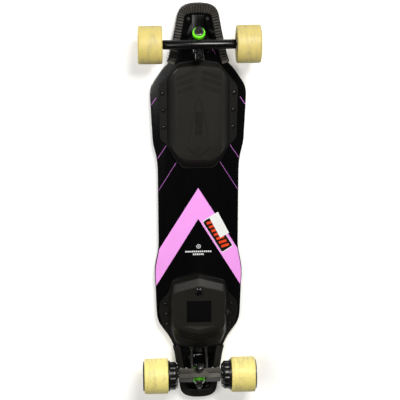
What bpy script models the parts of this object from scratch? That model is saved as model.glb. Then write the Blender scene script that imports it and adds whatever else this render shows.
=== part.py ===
"""Electric skateboard: a drop-through longboard with two hub motors, modelled as separate named pieces.

The frame: metres, +X towards the nose, +Y to the rider's left, +Z up, the wheels standing on Z = 0.
A depth below the deck's underside is called "depth"; it grows towards the ground.
"""
import math

import bmesh
import bpy
from mathutils import Matrix, Vector

for leftover in list(bpy.data.objects):
    bpy.data.objects.remove(leftover, do_unlink=True)

# ---------------------------------------------------------------- driving dimensions
GAP = 0.0003                      # clearance between touching pieces
BOARD_LENGTH = 0.950              # over both bumpers
WHEELBASE = 0.788
WHEEL_RADIUS = 0.0415             # 83 mm wheels
DECK_THICKNESS = 0.013
DECK_CHAMFER = 0.0025             # on both rims of the deck
TAPE_THICKNESS = 0.0008
AXLE_DROP = 0.050                 # axle centre below the deck's underside
BUMPER_WALL = 0.0035              # rubber outside the deck's edge
STEER_ANGLE = math.radians(45.0)  # steering axis to the deck's plane
RAKE = 0.010                      # axle centre to steering axis

AXLE_Z = WHEEL_RADIUS
DECK_BOTTOM = AXLE_Z + AXLE_DROP
DECK_TOP = DECK_BOTTOM + DECK_THICKNESS
DECK_TIP = BOARD_LENGTH / 2 - BUMPER_WALL
TIP_START = 0.438                 # where the round nose and tail begin
TIP_LENGTH = DECK_TIP - TIP_START

# Side of the deck: (x, half width). The round tips are a formula on top of these.
DECK_SIDES = (
    (-0.4720, 0.0380), (-0.4380, 0.0425), (-0.3780, 0.0510), (-0.3520, 0.0550), (-0.3400, 0.0590),
    (-0.3260, 0.0645), (-0.3100, 0.0730), (-0.2940, 0.0840), (-0.2790, 0.0930), (-0.2630, 0.0972),
    (-0.2480, 0.0984), (-0.2170, 0.0994), (-0.1870, 0.1002), (-0.1600, 0.1016), (-0.1440, 0.1012),
    (-0.1250, 0.0985), (-0.1000, 0.0937), (-0.0800, 0.0920), (0.0900, 0.0922), (0.1050, 0.0926),
    (0.1200, 0.0940), (0.1340, 0.0964), (0.1480, 0.0997), (0.1640, 0.1026), (0.1760, 0.1034),
    (0.2040, 0.1048), (0.2450, 0.1066), (0.2700, 0.1075), (0.2870, 0.1056), (0.3000, 0.0992),
    (0.3140, 0.0902), (0.3270, 0.0812), (0.3340, 0.0755), (0.3420, 0.0680), (0.3520, 0.0640),
    (0.4050, 0.0514), (0.4380, 0.0450), (0.4720, 0.0385),
)
NOSE_GUARD_START = 0.345          # where the nose bumper's arms end
TAIL_GUARD_START = -0.3435
TAPE_FRONT = 0.428                # the grip tape ends beside the baseplates
TAPE_REAR = -0.404
TAPE_NARROWING = 0.0160           # from the deck's edge, beside the bumpers

# Trucks, in a truck's own frame: origin at the axle's centre, +X outboard, +Z up.
HOLE_HALF_WIDTH = 0.04130 / 2     # standard truck bolt pattern
HOLE_HALF_LENGTH = 0.0635 / 2
FRONT_PATTERN = 0.015             # bolt pattern's centre, outboard of the axle
REAR_PATTERN = 0.011
POCKET_HALF_LENGTH = 0.047
POCKET_HALF_WIDTH = 0.029
POCKET_DEPTH = 0.004
POCKET_CORNER = 0.018
FLANGE_HALF_LENGTH = 0.0440
FLANGE_HALF_WIDTH = 0.0290
FLANGE_CORNER = 0.007
TAPE_CLEARANCE = 0.0010           # between the baseplate's flange and the grip tape
FLANGE_THICKNESS = 0.006
AXIS_FOOT = Vector((-RAKE * math.sin(STEER_ANGLE), 0.0, RAKE * math.cos(STEER_ANGLE)))
EYE_DISTANCE = 0.028              # along the steering axis to the kingpin
SEAT_DEPTH = 0.0216               # from the hanger's eye back to the boardside bushing's seat
SEAT_RIM = 0.0170                 # from the hanger's eye back to the rim round that seat
BUSHING_RADIUS = 0.0140           # roadside
SEAT_BUSHING_RADIUS = 0.0130      # boardside
KINGPIN_RADIUS = 0.00475
KINGPIN_HOLE = 0.00505
KINGPIN_HEAD = 0.0400             # from the eye back to the underside of the kingpin's head
EYE_RADIUS = 0.0160
EYE_HOLE = 0.0075
BOLT_HOLE = 0.00275
CUP_START = -0.0165               # face of the pivot tower, along the steering axis
CUP_END = -0.0310
HANGER_END = -0.0145

# Front axle, distances from the board's middle plane.
FRONT_HANGER_END = 0.0800
FRONT_WHEEL_INNER = 0.0806
FRONT_WHEEL_OUTER = 0.1335
BEARING_BORE = 0.0040
BEARING_RADIUS = 0.0110
BEARING_WIDTH = 0.0070
FRONT_BEARINGS = (0.0815, 0.1120)
CORE_RADIUS = 0.0240
NUT_BORE = 0.0051                 # to the corners of the axle nut's six-sided bore

# Rear truck and hub motors.
REAR_HANGER_HALF = 0.0490
NOTCH_HALF_WIDTH = 0.0155         # clears the bushing beside the rear hanger's block
NOTCH_START = 0.0205              # the notch's slope, from the block's inboard face
NOTCH_END = 0.0060                # to its outboard face, towards the kingpin's nut
MOTOR_INNER = 0.0515
MOTOR_RADIUS = 0.0330
REAR_WHEEL_INNER = 0.0743
REAR_WHEEL_OUTER = 0.1300
MOTOR_OUTER = 0.1333
MOTOR_AXLE_RADIUS = 0.0050
AXLE_ROOT = 0.0223                # inner end of a motor's axle, inside the hanger
STATOR_TEETH = 12
CABLE_Y = 0.0170
CABLE_ALONG = -0.0090             # a motor cable's hole in the hanger, along the steering axis
CABLE_RADIUS = 0.0032
CABLE_HOLE = 0.0036

# Enclosures: half outlines (x, y), from the front centre back to the rear centre.
FLANGE_FACE = GAP
FLANGE_FOOT = 0.0048
PLATEAU_DEPTH = 0.0300
SHELL = 0.0027
BATTERY_FLANGE = (
    (0.3500, 0.0000), (0.3440, 0.0460), (0.2910, 0.0885), (0.1715, 0.0865),
    (0.1550, 0.0705), (0.1200, 0.0510), (0.1010, 0.0360), (0.1010, 0.0000),
)
BATTERY_SHOULDER = (
    (0.3490, 0.0000), (0.3420, 0.0445), (0.3090, 0.0700), (0.1600, 0.0700),
    (0.1500, 0.0640), (0.1220, 0.0480), (0.1040, 0.0330), (0.1040, 0.0000),
)
BATTERY_PLATEAU = (
    (0.3440, 0.0000), (0.3380, 0.0440), (0.3310, 0.0520), (0.1480, 0.0520),
    (0.1420, 0.0500), (0.1340, 0.0420), (0.1270, 0.0270), (0.1270, 0.0000),
)
ESC_FLANGE = (
    (-0.1570, 0.0000), (-0.1730, 0.0620), (-0.2000, 0.0690), (-0.2260, 0.0910),
    (-0.2500, 0.0925), (-0.2760, 0.0870), (-0.3010, 0.0745), (-0.3220, 0.0630),
    (-0.3370, 0.0540), (-0.3440, 0.0200), (-0.3450, 0.0000),
)
# Electronics box, (x, y, depth).
ESC_SHOULDER = (
    (-0.1575, 0.0000, 0.0050), (-0.1735, 0.0605, 0.0050), (-0.1970, 0.0660, 0.0050),
    (-0.2150, 0.0690, 0.0050), (-0.2500, 0.0690, 0.0050), (-0.2760, 0.0690, 0.0050),
    (-0.2980, 0.0680, 0.0050), (-0.3200, 0.0600, 0.0050), (-0.3350, 0.0520, 0.0050),
    (-0.3420, 0.0200, 0.0050), (-0.3430, 0.0000, 0.0050),
)
ESC_WAIST = (
    (-0.1610, 0.0000, 0.0210), (-0.1770, 0.0600, 0.0210), (-0.1980, 0.0620, 0.0210),
    (-0.2150, 0.0630, 0.0210), (-0.2500, 0.0630, 0.0210), (-0.2760, 0.0630, 0.0210),
    (-0.2960, 0.0610, 0.0190), (-0.3160, 0.0540, 0.0150), (-0.3290, 0.0460, 0.0120),
    (-0.3370, 0.0190, 0.0110), (-0.3380, 0.0000, 0.0110),
)
ESC_PLATEAU = (
    (-0.1770, 0.0000, 0.0300), (-0.1920, 0.0590, 0.0300), (-0.2000, 0.0600, 0.0300),
    (-0.2150, 0.0600, 0.0300), (-0.2500, 0.0600, 0.0300), (-0.2760, 0.0600, 0.0300),
    (-0.2810, 0.0570, 0.0300), (-0.2830, 0.0450, 0.0300), (-0.2870, 0.0300, 0.0300),
    (-0.2930, 0.0130, 0.0300), (-0.2960, 0.0000, 0.0300),
)
BUTTON_X = -0.1945
PANEL_BOX = (-0.2670, -0.2140, 0.0285)
LINK_FRONT_X = 0.1250
LINK_REAR_X = -0.1745
CELL_RADIUS = 0.0091
CELL_LENGTH = 0.0650
CELL_PITCH = 0.0185
CELL_DEPTH = 0.0123
CELLS_START = 0.1370
CELLS_ACROSS = 5
CELL_ROWS = 3
ROW_PITCH = 0.0654
BEZEL_RADIUS = 0.0089
PANEL_THICKNESS = 0.0010
PORT_X = -0.2480
PORT_DEPTH = 0.0140
PORT_WALL = 4                     # the corner of the electronics box's outlines beside the port
CABLE_EXIT_X = -0.3385            # where the motor cables leave the electronics box
CABLE_EXIT_DEPTH = 0.0080

# ---------------------------------------------------------------- materials


def make_material(name, colour, roughness, metallic=0.0):
    """A Principled material of one colour."""
    material = bpy.data.materials.new(name)
    material.use_nodes = True
    shader = material.node_tree.nodes["Principled BSDF"]
    shader.inputs["Base Color"].default_value = (*colour, 1.0)
    shader.inputs["Roughness"].default_value = roughness
    shader.inputs["Metallic"].default_value = metallic
    material.diffuse_color = (*colour, 1.0)
    return material


GLOSS_BLACK = make_material("black_deck_lacquer", (0.012, 0.012, 0.014), 0.15)
GRIP = make_material("grip_tape", (0.02, 0.02, 0.02), 0.95)
RUBBER = make_material("bumper_rubber", (0.035, 0.033, 0.03), 0.8)
CAST_BLACK = make_material("black_cast_metal", (0.012, 0.012, 0.013), 0.3, 0.6)
HANGER_GREY = make_material("grey_anodised_aluminium", (0.055, 0.05, 0.048), 0.55, 0.5)
STEEL = make_material("zinc_plated_steel", (0.55, 0.54, 0.52), 0.35, 1.0)
BLACK_STEEL = make_material("black_steel", (0.03, 0.03, 0.03), 0.4, 0.9)
GREEN = make_material("green_urethane", (0.22, 0.85, 0.02), 0.4)
CREAM = make_material("cream_urethane", (0.93, 0.83, 0.36), 0.5)
CASE_BLACK = make_material("matt_black_plastic", (0.022, 0.022, 0.02), 0.6)
GLOSS_PLASTIC = make_material("gloss_black_plastic", (0.008, 0.008, 0.01), 0.1)
CORE_PLASTIC = make_material("wheel_core_plastic", (0.10, 0.10, 0.09), 0.5)
CELL_BLUE = make_material("cell_sleeve", (0.05, 0.2, 0.5), 0.4)
BOARD_GREEN = make_material("circuit_board", (0.02, 0.15, 0.06), 0.5)
COPPER = make_material("stator_laminations", (0.45, 0.22, 0.12), 0.5, 0.8)
CABLE_BLACK = make_material("cable_sheath", (0.03, 0.02, 0.018), 0.6)

# ---------------------------------------------------------------- modelling helpers


def object_from(name, mesh_builder, material, frame=Matrix.Identity(4), smooth=30.0):
    """Makes an object of a bmesh, puts it in its frame and shades it by angle."""
    bmesh.ops.recalc_face_normals(mesh_builder, faces=mesh_builder.faces)
    mesh = bpy.data.meshes.new(name)
    mesh_builder.to_mesh(mesh)
    mesh_builder.free()
    mesh.shade_smooth()
    mesh.set_sharp_from_angle(angle=math.radians(smooth))
    made = bpy.data.objects.new(name, mesh)
    bpy.context.scene.collection.objects.link(made)
    made.matrix_world = frame
    if material is not None:
        mesh.materials.append(material)
    return made


def add_loft(builder, rings, closed=False):
    """Skins rings of equally many points; the first and last are capped unless the loft is closed."""
    loops = [[builder.verts.new(point) for point in ring] for ring in rings]
    count = len(loops[0])
    pairs = list(zip(loops, loops[1:]))
    if closed:
        pairs.append((loops[-1], loops[0]))
    for lower, upper in pairs:
        for index in range(count):
            after = (index + 1) % count
            builder.faces.new((lower[index], lower[after], upper[after], upper[index]))
    if not closed:
        builder.faces.new(loops[0][::-1])
        builder.faces.new(loops[-1])


def add_turned(builder, profile, segments, frame=Matrix.Identity(4)):
    """Spins a closed (radius, height) profile about Z; points on the axis become poles."""
    lathe = bmesh.new()
    points = [lathe.verts.new((radius, 0.0, height)) for radius, height in profile]
    edges = [lathe.edges.new(pair) for pair in zip(points, points[1:] + points[:1])]
    bmesh.ops.spin(
        lathe, geom=points + edges, cent=(0, 0, 0), axis=(0, 0, 1),
        angle=math.tau, steps=segments, use_merge=True,
    )
    bmesh.ops.remove_doubles(lathe, verts=lathe.verts, dist=1e-6)
    on_axis = [edge for edge in lathe.edges if not edge.link_faces]
    bmesh.ops.delete(lathe, geom=on_axis, context="EDGES")
    bmesh.ops.recalc_face_normals(lathe, faces=lathe.faces)
    lathe.transform(frame)
    body = bpy.data.meshes.new("turned_body")
    lathe.to_mesh(body)
    lathe.free()
    builder.from_mesh(body)
    bpy.data.meshes.remove(body)


def turned(name, profile, segments, material, frame=Matrix.Identity(4), smooth=30.0):
    """A turned piece of one closed profile."""
    builder = bmesh.new()
    add_turned(builder, profile, segments)
    return object_from(name, builder, material, frame, smooth)


def add_prism(builder, outline, low, high, frame=Matrix.Identity(4)):
    """Extrudes an (x, y) outline from z = low to z = high."""
    rings = [[frame @ Vector((x, y, level)) for x, y in outline] for level in (low, high)]
    add_loft(builder, rings)


def prism(name, outline, low, high, material, frame=Matrix.Identity(4), smooth=30.0):
    """A piece of constant section."""
    builder = bmesh.new()
    add_prism(builder, outline, low, high)
    return object_from(name, builder, material, frame, smooth)


def as_tool(tool):
    """Marks an object as a guide for Boolean modifiers, left out of the model."""
    tool.hide_render = True
    tool.display_type = "WIRE"
    return tool


def boolean(target, tool, operation="DIFFERENCE"):
    """Adds a Boolean modifier with the exact solver."""
    modifier = target.modifiers.new(f"{operation.lower()}_{tool.name}", "BOOLEAN")
    modifier.operation = operation
    modifier.solver = "EXACT"
    modifier.object = as_tool(tool)


def mirrored(half):
    """Completes a half outline, given from centre to centre, on the other side."""
    other = [(point[0], -point[1], *point[2:]) for point in reversed(half[1:-1])]
    return list(half) + other


def rectangle(x_low, x_high, half_width):
    """Outline of a rectangle about the X axis."""
    return [(x_low, -half_width), (x_high, -half_width), (x_high, half_width), (x_low, half_width)]


def rounded_rectangle(centre_x, half_length, half_width, radius, steps=4):
    """Outline of a rectangle with round corners."""
    outline = []
    for corner in range(4):
        sign_x = 1 if corner in (0, 3) else -1
        sign_y = 1 if corner in (0, 1) else -1
        for step in range(steps + 1):
            angle = math.radians(90 * (corner + step / steps))
            x = centre_x + sign_x * (half_length - radius) + radius * math.cos(angle)
            y = sign_y * (half_width - radius) + radius * math.sin(angle)
            outline.append((x, y))
    return outline


def circle(radius, count, centre=(0.0, 0.0)):
    """Points of a regular outline."""
    angles = [math.tau * index / count for index in range(count)]
    return [(centre[0] + radius * math.cos(a), centre[1] + radius * math.sin(a)) for a in angles]


def inset(outline, distance):
    """Moves each point of a counterclockwise or clockwise outline inwards."""
    count = len(outline)
    area = sum(
        outline[i][0] * outline[(i + 1) % count][1] - outline[(i + 1) % count][0] * outline[i][1]
        for i in range(count)
    )
    turn = 1.0 if area > 0 else -1.0
    moved = []
    for index, point in enumerate(outline):
        here = Vector(point[:2])
        before = (here - Vector(outline[index - 1][:2])).normalized()
        after = (Vector(outline[(index + 1) % count][:2]) - here).normalized()
        normal = Vector((-(before.y + after.y), before.x + after.x)).normalized() * turn
        side = Vector((-before.y, before.x)) * turn
        reach = distance / max(normal.dot(side), 0.5)
        moved.append((here.x + normal.x * reach, here.y + normal.y * reach, *point[2:]))
    return moved


def at_depth(outline, depth=None):
    """World points of an outline at a depth below the deck's underside."""
    if depth is None:
        return [(x, y, DECK_BOTTOM - own) for x, y, own in outline]
    return [(point[0], point[1], DECK_BOTTOM - depth) for point in outline]


def interpolate(table, x):
    """Monotone cubic through a table of (x, value)."""
    count = len(table)
    slopes = [
        (table[i + 1][1] - table[i][1]) / (table[i + 1][0] - table[i][0]) for i in range(count - 1)
    ]
    tangents = [slopes[0]]
    for left, right in zip(slopes, slopes[1:]):
        tangents.append(0.0 if left * right <= 0 else 2 * left * right / (left + right))
    tangents.append(slopes[-1])
    index = max(i for i in range(count - 1) if i == 0 or table[i][0] <= x)
    width = table[index + 1][0] - table[index][0]
    t = (x - table[index][0]) / width
    return (
        (2 * t**3 - 3 * t**2 + 1) * table[index][1] + (t**3 - 2 * t**2 + t) * width * tangents[index]
        + (-2 * t**3 + 3 * t**2) * table[index + 1][1] + (t**3 - t**2) * width * tangents[index + 1]
    )


def deck_half_width(x):
    """Half width of the deck at x, with the round nose and tail."""
    side = interpolate(DECK_SIDES, x)
    beyond = (abs(x) - TIP_START) / TIP_LENGTH
    if beyond <= 0:
        return side
    return side * max(1 - beyond**4, 0.0) ** 0.4


def stations():
    """X positions that follow the deck's outline, close together where it curves."""
    runs = ((TAIL_GUARD_START, -0.254, 6), (-0.200, -0.160, 1), (-0.150, -0.080, 4), (0.090, 0.164, 5),
            (0.204, 0.245, 1), (0.268, NOSE_GUARD_START, 7))
    found = []
    for start, end, steps in runs:
        found += [start + (end - start) * step / steps for step in range(steps + 1)]
    found += [-0.405, -0.372, 0.375, 0.405]
    for sign in (-1, 1):
        for degrees in (0, 22, 42, 58, 71, 81):
            found.append(sign * (TIP_START + TIP_LENGTH * math.sin(math.radians(degrees))))
    return sorted(found)


def deck_outline():
    """The deck's outline, with an end point on the centre line at each tip."""
    sides = [(x, deck_half_width(x)) for x in reversed(stations())]
    return mirrored([(DECK_TIP, 0.0), *sides, (-DECK_TIP, 0.0)])


# ---------------------------------------------------------------- truck frames

FRONT = Matrix.Translation((WHEELBASE / 2, 0, AXLE_Z))
REAR = Matrix.Translation((-WHEELBASE / 2, 0, AXLE_Z)) @ Matrix.Rotation(math.pi, 4, "Z")
COS_STEER = math.cos(STEER_ANGLE)
SIN_STEER = math.sin(STEER_ANGLE)
# Columns: along the steering axis (outboard and up), across, along the kingpin (outboard and down).
STEER_FRAME = Matrix.Translation(AXIS_FOOT) @ Matrix((
    (COS_STEER, 0, SIN_STEER, 0),
    (0, -1, 0, 0),
    (SIN_STEER, 0, -COS_STEER, 0),
    (0, 0, 0, 1),
))
KINGPIN_FRAME = STEER_FRAME @ Matrix.Translation((EYE_DISTANCE, 0, 0))
# Turned pieces on the steering axis: their Z is the axis, pointing to the kingpin.
PIVOT_FRAME = STEER_FRAME @ Matrix.Rotation(math.pi / 2, 4, "Y")
UPRIGHT_SECTION = Matrix.Rotation(math.pi / 2, 4, "X")
ALONG_BOARD = Matrix.Rotation(math.pi / 2, 4, "Y")


def wheel_frame(truck, side):
    """Frame with Z along the axle, outwards from the board's middle; side is +1 for world +Y."""
    turn = side if truck is FRONT else -side
    return truck @ Matrix.Rotation(-turn * math.pi / 2, 4, "X")


def parent_to(empty, *pieces):
    """Parents pieces to an empty and leaves them where they are."""
    for piece in pieces:
        world = piece.matrix_world.copy()
        piece.parent = empty
        piece.matrix_parent_inverse = Matrix.Identity(4)
        piece.matrix_basis = empty.matrix_world.inverted() @ world


def axis_empty(name, frame, parent=None):
    """An empty on a joint's axis."""
    empty = bpy.data.objects.new(name, None)
    empty.empty_display_size = 0.03
    bpy.context.scene.collection.objects.link(empty)
    empty.matrix_world = frame
    if parent is not None:
        empty.parent = parent
        empty.matrix_basis = parent.matrix_world.inverted() @ frame
    bpy.context.view_layer.update()
    return empty


# ---------------------------------------------------------------- deck, tape and bumpers


def truck_holes(truck, pattern):
    """The four bolt positions of a truck, in world coordinates at the axle's height."""
    corners = [(sx, sy) for sx in (-1, 1) for sy in (-1, 1)]
    return [
        truck @ Vector((pattern + sx * HOLE_HALF_LENGTH, sy * HOLE_HALF_WIDTH, 0)) for sx, sy in corners
    ]


BOLT_POINTS = truck_holes(FRONT, FRONT_PATTERN) + truck_holes(REAR, REAR_PATTERN)


def slot_outline(pattern):
    """The cut-out that the truck drops through, narrow between the bolts."""
    half = [
        (pattern + 0.0430, 0.0), (pattern + 0.0430, 0.0150), (0.0360, 0.0150), (0.0120, 0.0270),
        (-0.0040, 0.0270), (-0.0080, 0.0130), (-0.0285, 0.0130), (-0.0285, 0.0),
    ]
    return mirrored(half)


def build_deck():
    """The laminated deck with its pockets, slots, bolt holes, screw holes and cable channel."""
    builder = bmesh.new()
    add_prism(builder, deck_outline(), DECK_BOTTOM, DECK_TOP)
    bmesh.ops.recalc_face_normals(builder, faces=builder.faces)
    rims = [e for e in builder.edges if abs(e.verts[0].co.z - e.verts[1].co.z) < 1e-6]
    bmesh.ops.bevel(builder, geom=rims, offset=DECK_CHAMFER, segments=1, profile=0.5, affect="EDGES")
    deck = object_from("deck", builder, GLOSS_BLACK)

    pockets = bmesh.new()
    slots = bmesh.new()
    for truck, pattern in ((FRONT, FRONT_PATTERN), (REAR, REAR_PATTERN)):
        outline = rounded_rectangle(pattern, POCKET_HALF_LENGTH, POCKET_HALF_WIDTH, POCKET_CORNER, 3)
        add_prism(pockets, outline, AXLE_DROP - 0.01, AXLE_DROP + POCKET_DEPTH, truck)
        add_prism(slots, slot_outline(pattern), AXLE_DROP - 0.01, AXLE_DROP + 0.03, truck)
    for point in BOLT_POINTS:
        add_prism(slots, circle(BOLT_HOLE, 8, point.xy), DECK_BOTTOM - 0.01, DECK_TOP + 0.01)
    boolean(deck, object_from("pocket_tool", pockets, None))
    boolean(deck, object_from("slot_tool", slots, None))

    channel = bmesh.new()
    add_prism(channel, link_section(GAP, DECK_TOP + 0.002, DECK_BOTTOM - 0.01), -0.0066, 0.0066,
              UPRIGHT_SECTION)
    boolean(deck, object_from("channel_tool", channel, None))
    return deck


def link_section(clearance, top, foot):
    """Section of the link cable and its channel: a flat run with a leg down at each end."""
    floor = DECK_TOP - 0.0040 - clearance
    front = LINK_FRONT_X + clearance
    rear = LINK_REAR_X - clearance
    leg = 0.0040 + 2 * clearance
    return [
        (rear, top), (rear, foot), (rear + leg, foot), (rear + leg, floor),
        (front - leg, floor), (front - leg, foot), (front, foot), (front, top),
    ]


def build_grip_tape():
    """Thin grip tape on the deck's top, cut out round both baseplates."""
    half = [(TAPE_FRONT, 0.0), (TAPE_FRONT, deck_half_width(TAPE_FRONT) - TAPE_NARROWING)]
    for x in reversed(stations()):
        if TAPE_REAR < x < TAPE_FRONT:
            beside_bumper = x > NOSE_GUARD_START - 0.015 or x < TAIL_GUARD_START + 0.015
            half.append((x, deck_half_width(x) - (TAPE_NARROWING if beside_bumper else 0.004)))
    half += [(TAPE_REAR, deck_half_width(TAPE_REAR) - TAPE_NARROWING), (TAPE_REAR, 0.0)]
    tape = prism("grip_tape", mirrored(half), DECK_TOP + GAP, DECK_TOP + GAP + TAPE_THICKNESS, GRIP)
    builder = bmesh.new()
    for truck, pattern in ((FRONT, FRONT_PATTERN), (REAR, REAR_PATTERN)):
        outline = rounded_rectangle(
            pattern, FLANGE_HALF_LENGTH + TAPE_CLEARANCE, FLANGE_HALF_WIDTH + TAPE_CLEARANCE,
            FLANGE_CORNER + TAPE_CLEARANCE, 2,
        )
        add_prism(builder, outline, AXLE_DROP, AXLE_DROP + 0.03, truck)
    boolean(tape, object_from("tape_tool", builder, None))
    return tape


def guard_path(end, start):
    """Points and outward normals of the deck's edge round one tip, from arm to arm."""
    xs = sorted((x for x in stations() if x / end >= start / end - 1e-6), key=abs)
    side = [Vector((x, deck_half_width(x))) for x in xs] + [Vector((end, 0.0))]
    points = side + [Vector((p.x, -p.y)) for p in reversed(side[:-1])]
    found = []
    for index, point in enumerate(points):
        before = points[max(index - 1, 0)]
        after = points[min(index + 1, len(points) - 1)]
        along = (after - before).normalized()
        normal = Vector((-along.y, along.x))
        if normal.dot(point - Vector((start, 0.0))) < 0:
            normal = -normal
        found.append((point, normal))
    return found


def build_bumper(name, end, start):
    """A rubber channel pressed over the deck's edge round the nose or the tail."""
    rings = []
    for point, normal in guard_path(end, start):
        lip = 0.0130 + 0.0035 * abs(normal.x) ** 2
        section = [
            (-lip, DECK_BOTTOM - 0.0028), (0.0018, DECK_BOTTOM - 0.0028),
            (BUMPER_WALL, DECK_BOTTOM - 0.0008), (BUMPER_WALL, DECK_TOP + 0.0008),
            (0.0018, DECK_TOP + 0.0026), (-0.0120, DECK_TOP + 0.0026), (-0.0120, DECK_TOP + GAP),
            (GAP, DECK_TOP + GAP), (GAP, DECK_BOTTOM - GAP), (-lip, DECK_BOTTOM - GAP),
        ]
        rings.append([(*(point + normal * out), level) for out, level in section])
    builder = bmesh.new()
    add_loft(builder, rings)
    return object_from(name, builder, RUBBER)


# ---------------------------------------------------------------- enclosures


def shell_rings(flange, outer_levels):
    """Rings of an open box: its inside from the bottom up, then the flange and the outside down."""
    inner = []
    for level in reversed(outer_levels[1:]):
        inset_level = inset(mirrored(level), SHELL)
        inner.append([(x, y, DECK_BOTTOM - depth + SHELL) for x, y, depth in inset_level])
    mouth = at_depth(inset(mirrored(outer_levels[0]), SHELL + 0.0004), FLANGE_FACE)
    rings = inner + [mouth]
    rings += [at_depth(mirrored(flange), FLANGE_FACE), at_depth(mirrored(flange), FLANGE_FOOT)]
    rings += [at_depth(mirrored(level)) for level in outer_levels]
    return rings


def with_depth(outline, depth):
    """Gives a flat outline its depth."""
    return tuple((x, y, depth) for x, y in outline)


def build_enclosures():
    """Both underslung boxes, open towards the deck."""
    battery_levels = (with_depth(BATTERY_SHOULDER, 0.0050), with_depth(BATTERY_PLATEAU, PLATEAU_DEPTH))
    builder = bmesh.new()
    add_loft(builder, shell_rings(BATTERY_FLANGE, battery_levels))
    object_from("battery_enclosure", builder, CASE_BLACK)

    builder = bmesh.new()
    add_loft(builder, shell_rings(ESC_FLANGE, (ESC_SHOULDER, ESC_WAIST, ESC_PLATEAU)))
    esc = object_from("esc_enclosure", builder, CASE_BLACK)

    openings = bmesh.new()
    plateau = DECK_BOTTOM - PLATEAU_DEPTH
    add_prism(openings, circle(BEZEL_RADIUS + 2 * GAP, 16, (BUTTON_X, 0.0)), plateau - 0.01, plateau + 0.01)
    low, high, half = PANEL_BOX
    recess = rectangle(low - GAP, high + GAP, half + GAP)
    add_prism(openings, recess, plateau - 0.01, plateau + PANEL_THICKNESS + GAP)
    gland = ((0, -0.02), (CABLE_HOLE, -0.02), (CABLE_HOLE, 0.02), (0, 0.02))
    for side in (1, -1):
        add_turned(openings, gland, 10, cable_gland_frame(side))
    add_turned(openings, ((0, -0.010), (0.0067, -0.010), (0.0067, 0.012), (0, 0.012)), 12, port_frame())
    boolean(esc, object_from("esc_opening_tool", openings, None))


def cable_gland_frame(side):
    """Where a motor cable leaves the electronics enclosure's rear wall; Z points to the tail."""
    place = Matrix.Translation((CABLE_EXIT_X, side * CABLE_Y, DECK_BOTTOM - CABLE_EXIT_DEPTH))
    return place @ Matrix.Rotation(-math.pi / 2, 4, "Y")


def port_frame():
    """Charge port on the electronics enclosure's left wall; Z points out of the wall."""
    _, shoulder_y, shoulder_depth = ESC_SHOULDER[PORT_WALL]
    _, waist_y, waist_depth = ESC_WAIST[PORT_WALL]
    drop = waist_depth - shoulder_depth
    y = shoulder_y + (waist_y - shoulder_y) * (PORT_DEPTH - shoulder_depth) / drop
    lean = math.atan2(shoulder_y - waist_y, drop)
    place = Matrix.Translation((PORT_X, y, DECK_BOTTOM - PORT_DEPTH))
    return place @ Matrix.Rotation(-(math.pi / 2 + lean), 4, "X")


def build_battery_pack():
    """Fifteen cells in three rows of five, held together by the strips welded across their ends."""
    cells = bmesh.new()
    for row in range(CELL_ROWS):
        for column in range(CELLS_ACROSS):
            y = (column - (CELLS_ACROSS - 1) / 2) * CELL_PITCH
            spot = Matrix.Translation((CELLS_START + row * ROW_PITCH, y, DECK_BOTTOM - CELL_DEPTH))
            add_prism(cells, circle(CELL_RADIUS, 10), 0.0, CELL_LENGTH, spot @ ALONG_BOARD)
    pack = object_from("battery_pack", cells, CELL_BLUE)
    strips = bmesh.new()
    reach = CELL_PITCH * (CELLS_ACROSS - 1) / 2 + 0.004
    for row in range(1, CELL_ROWS):
        joint = CELLS_START + row * ROW_PITCH
        outline = rectangle(joint - (ROW_PITCH - CELL_LENGTH) - 0.0003, joint + 0.0003, reach)
        add_prism(strips, outline, DECK_BOTTOM - CELL_DEPTH - 0.004, DECK_BOTTOM - CELL_DEPTH + 0.004)
    boolean(pack, object_from("cell_strip_tool", strips, None), "UNION")


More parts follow.
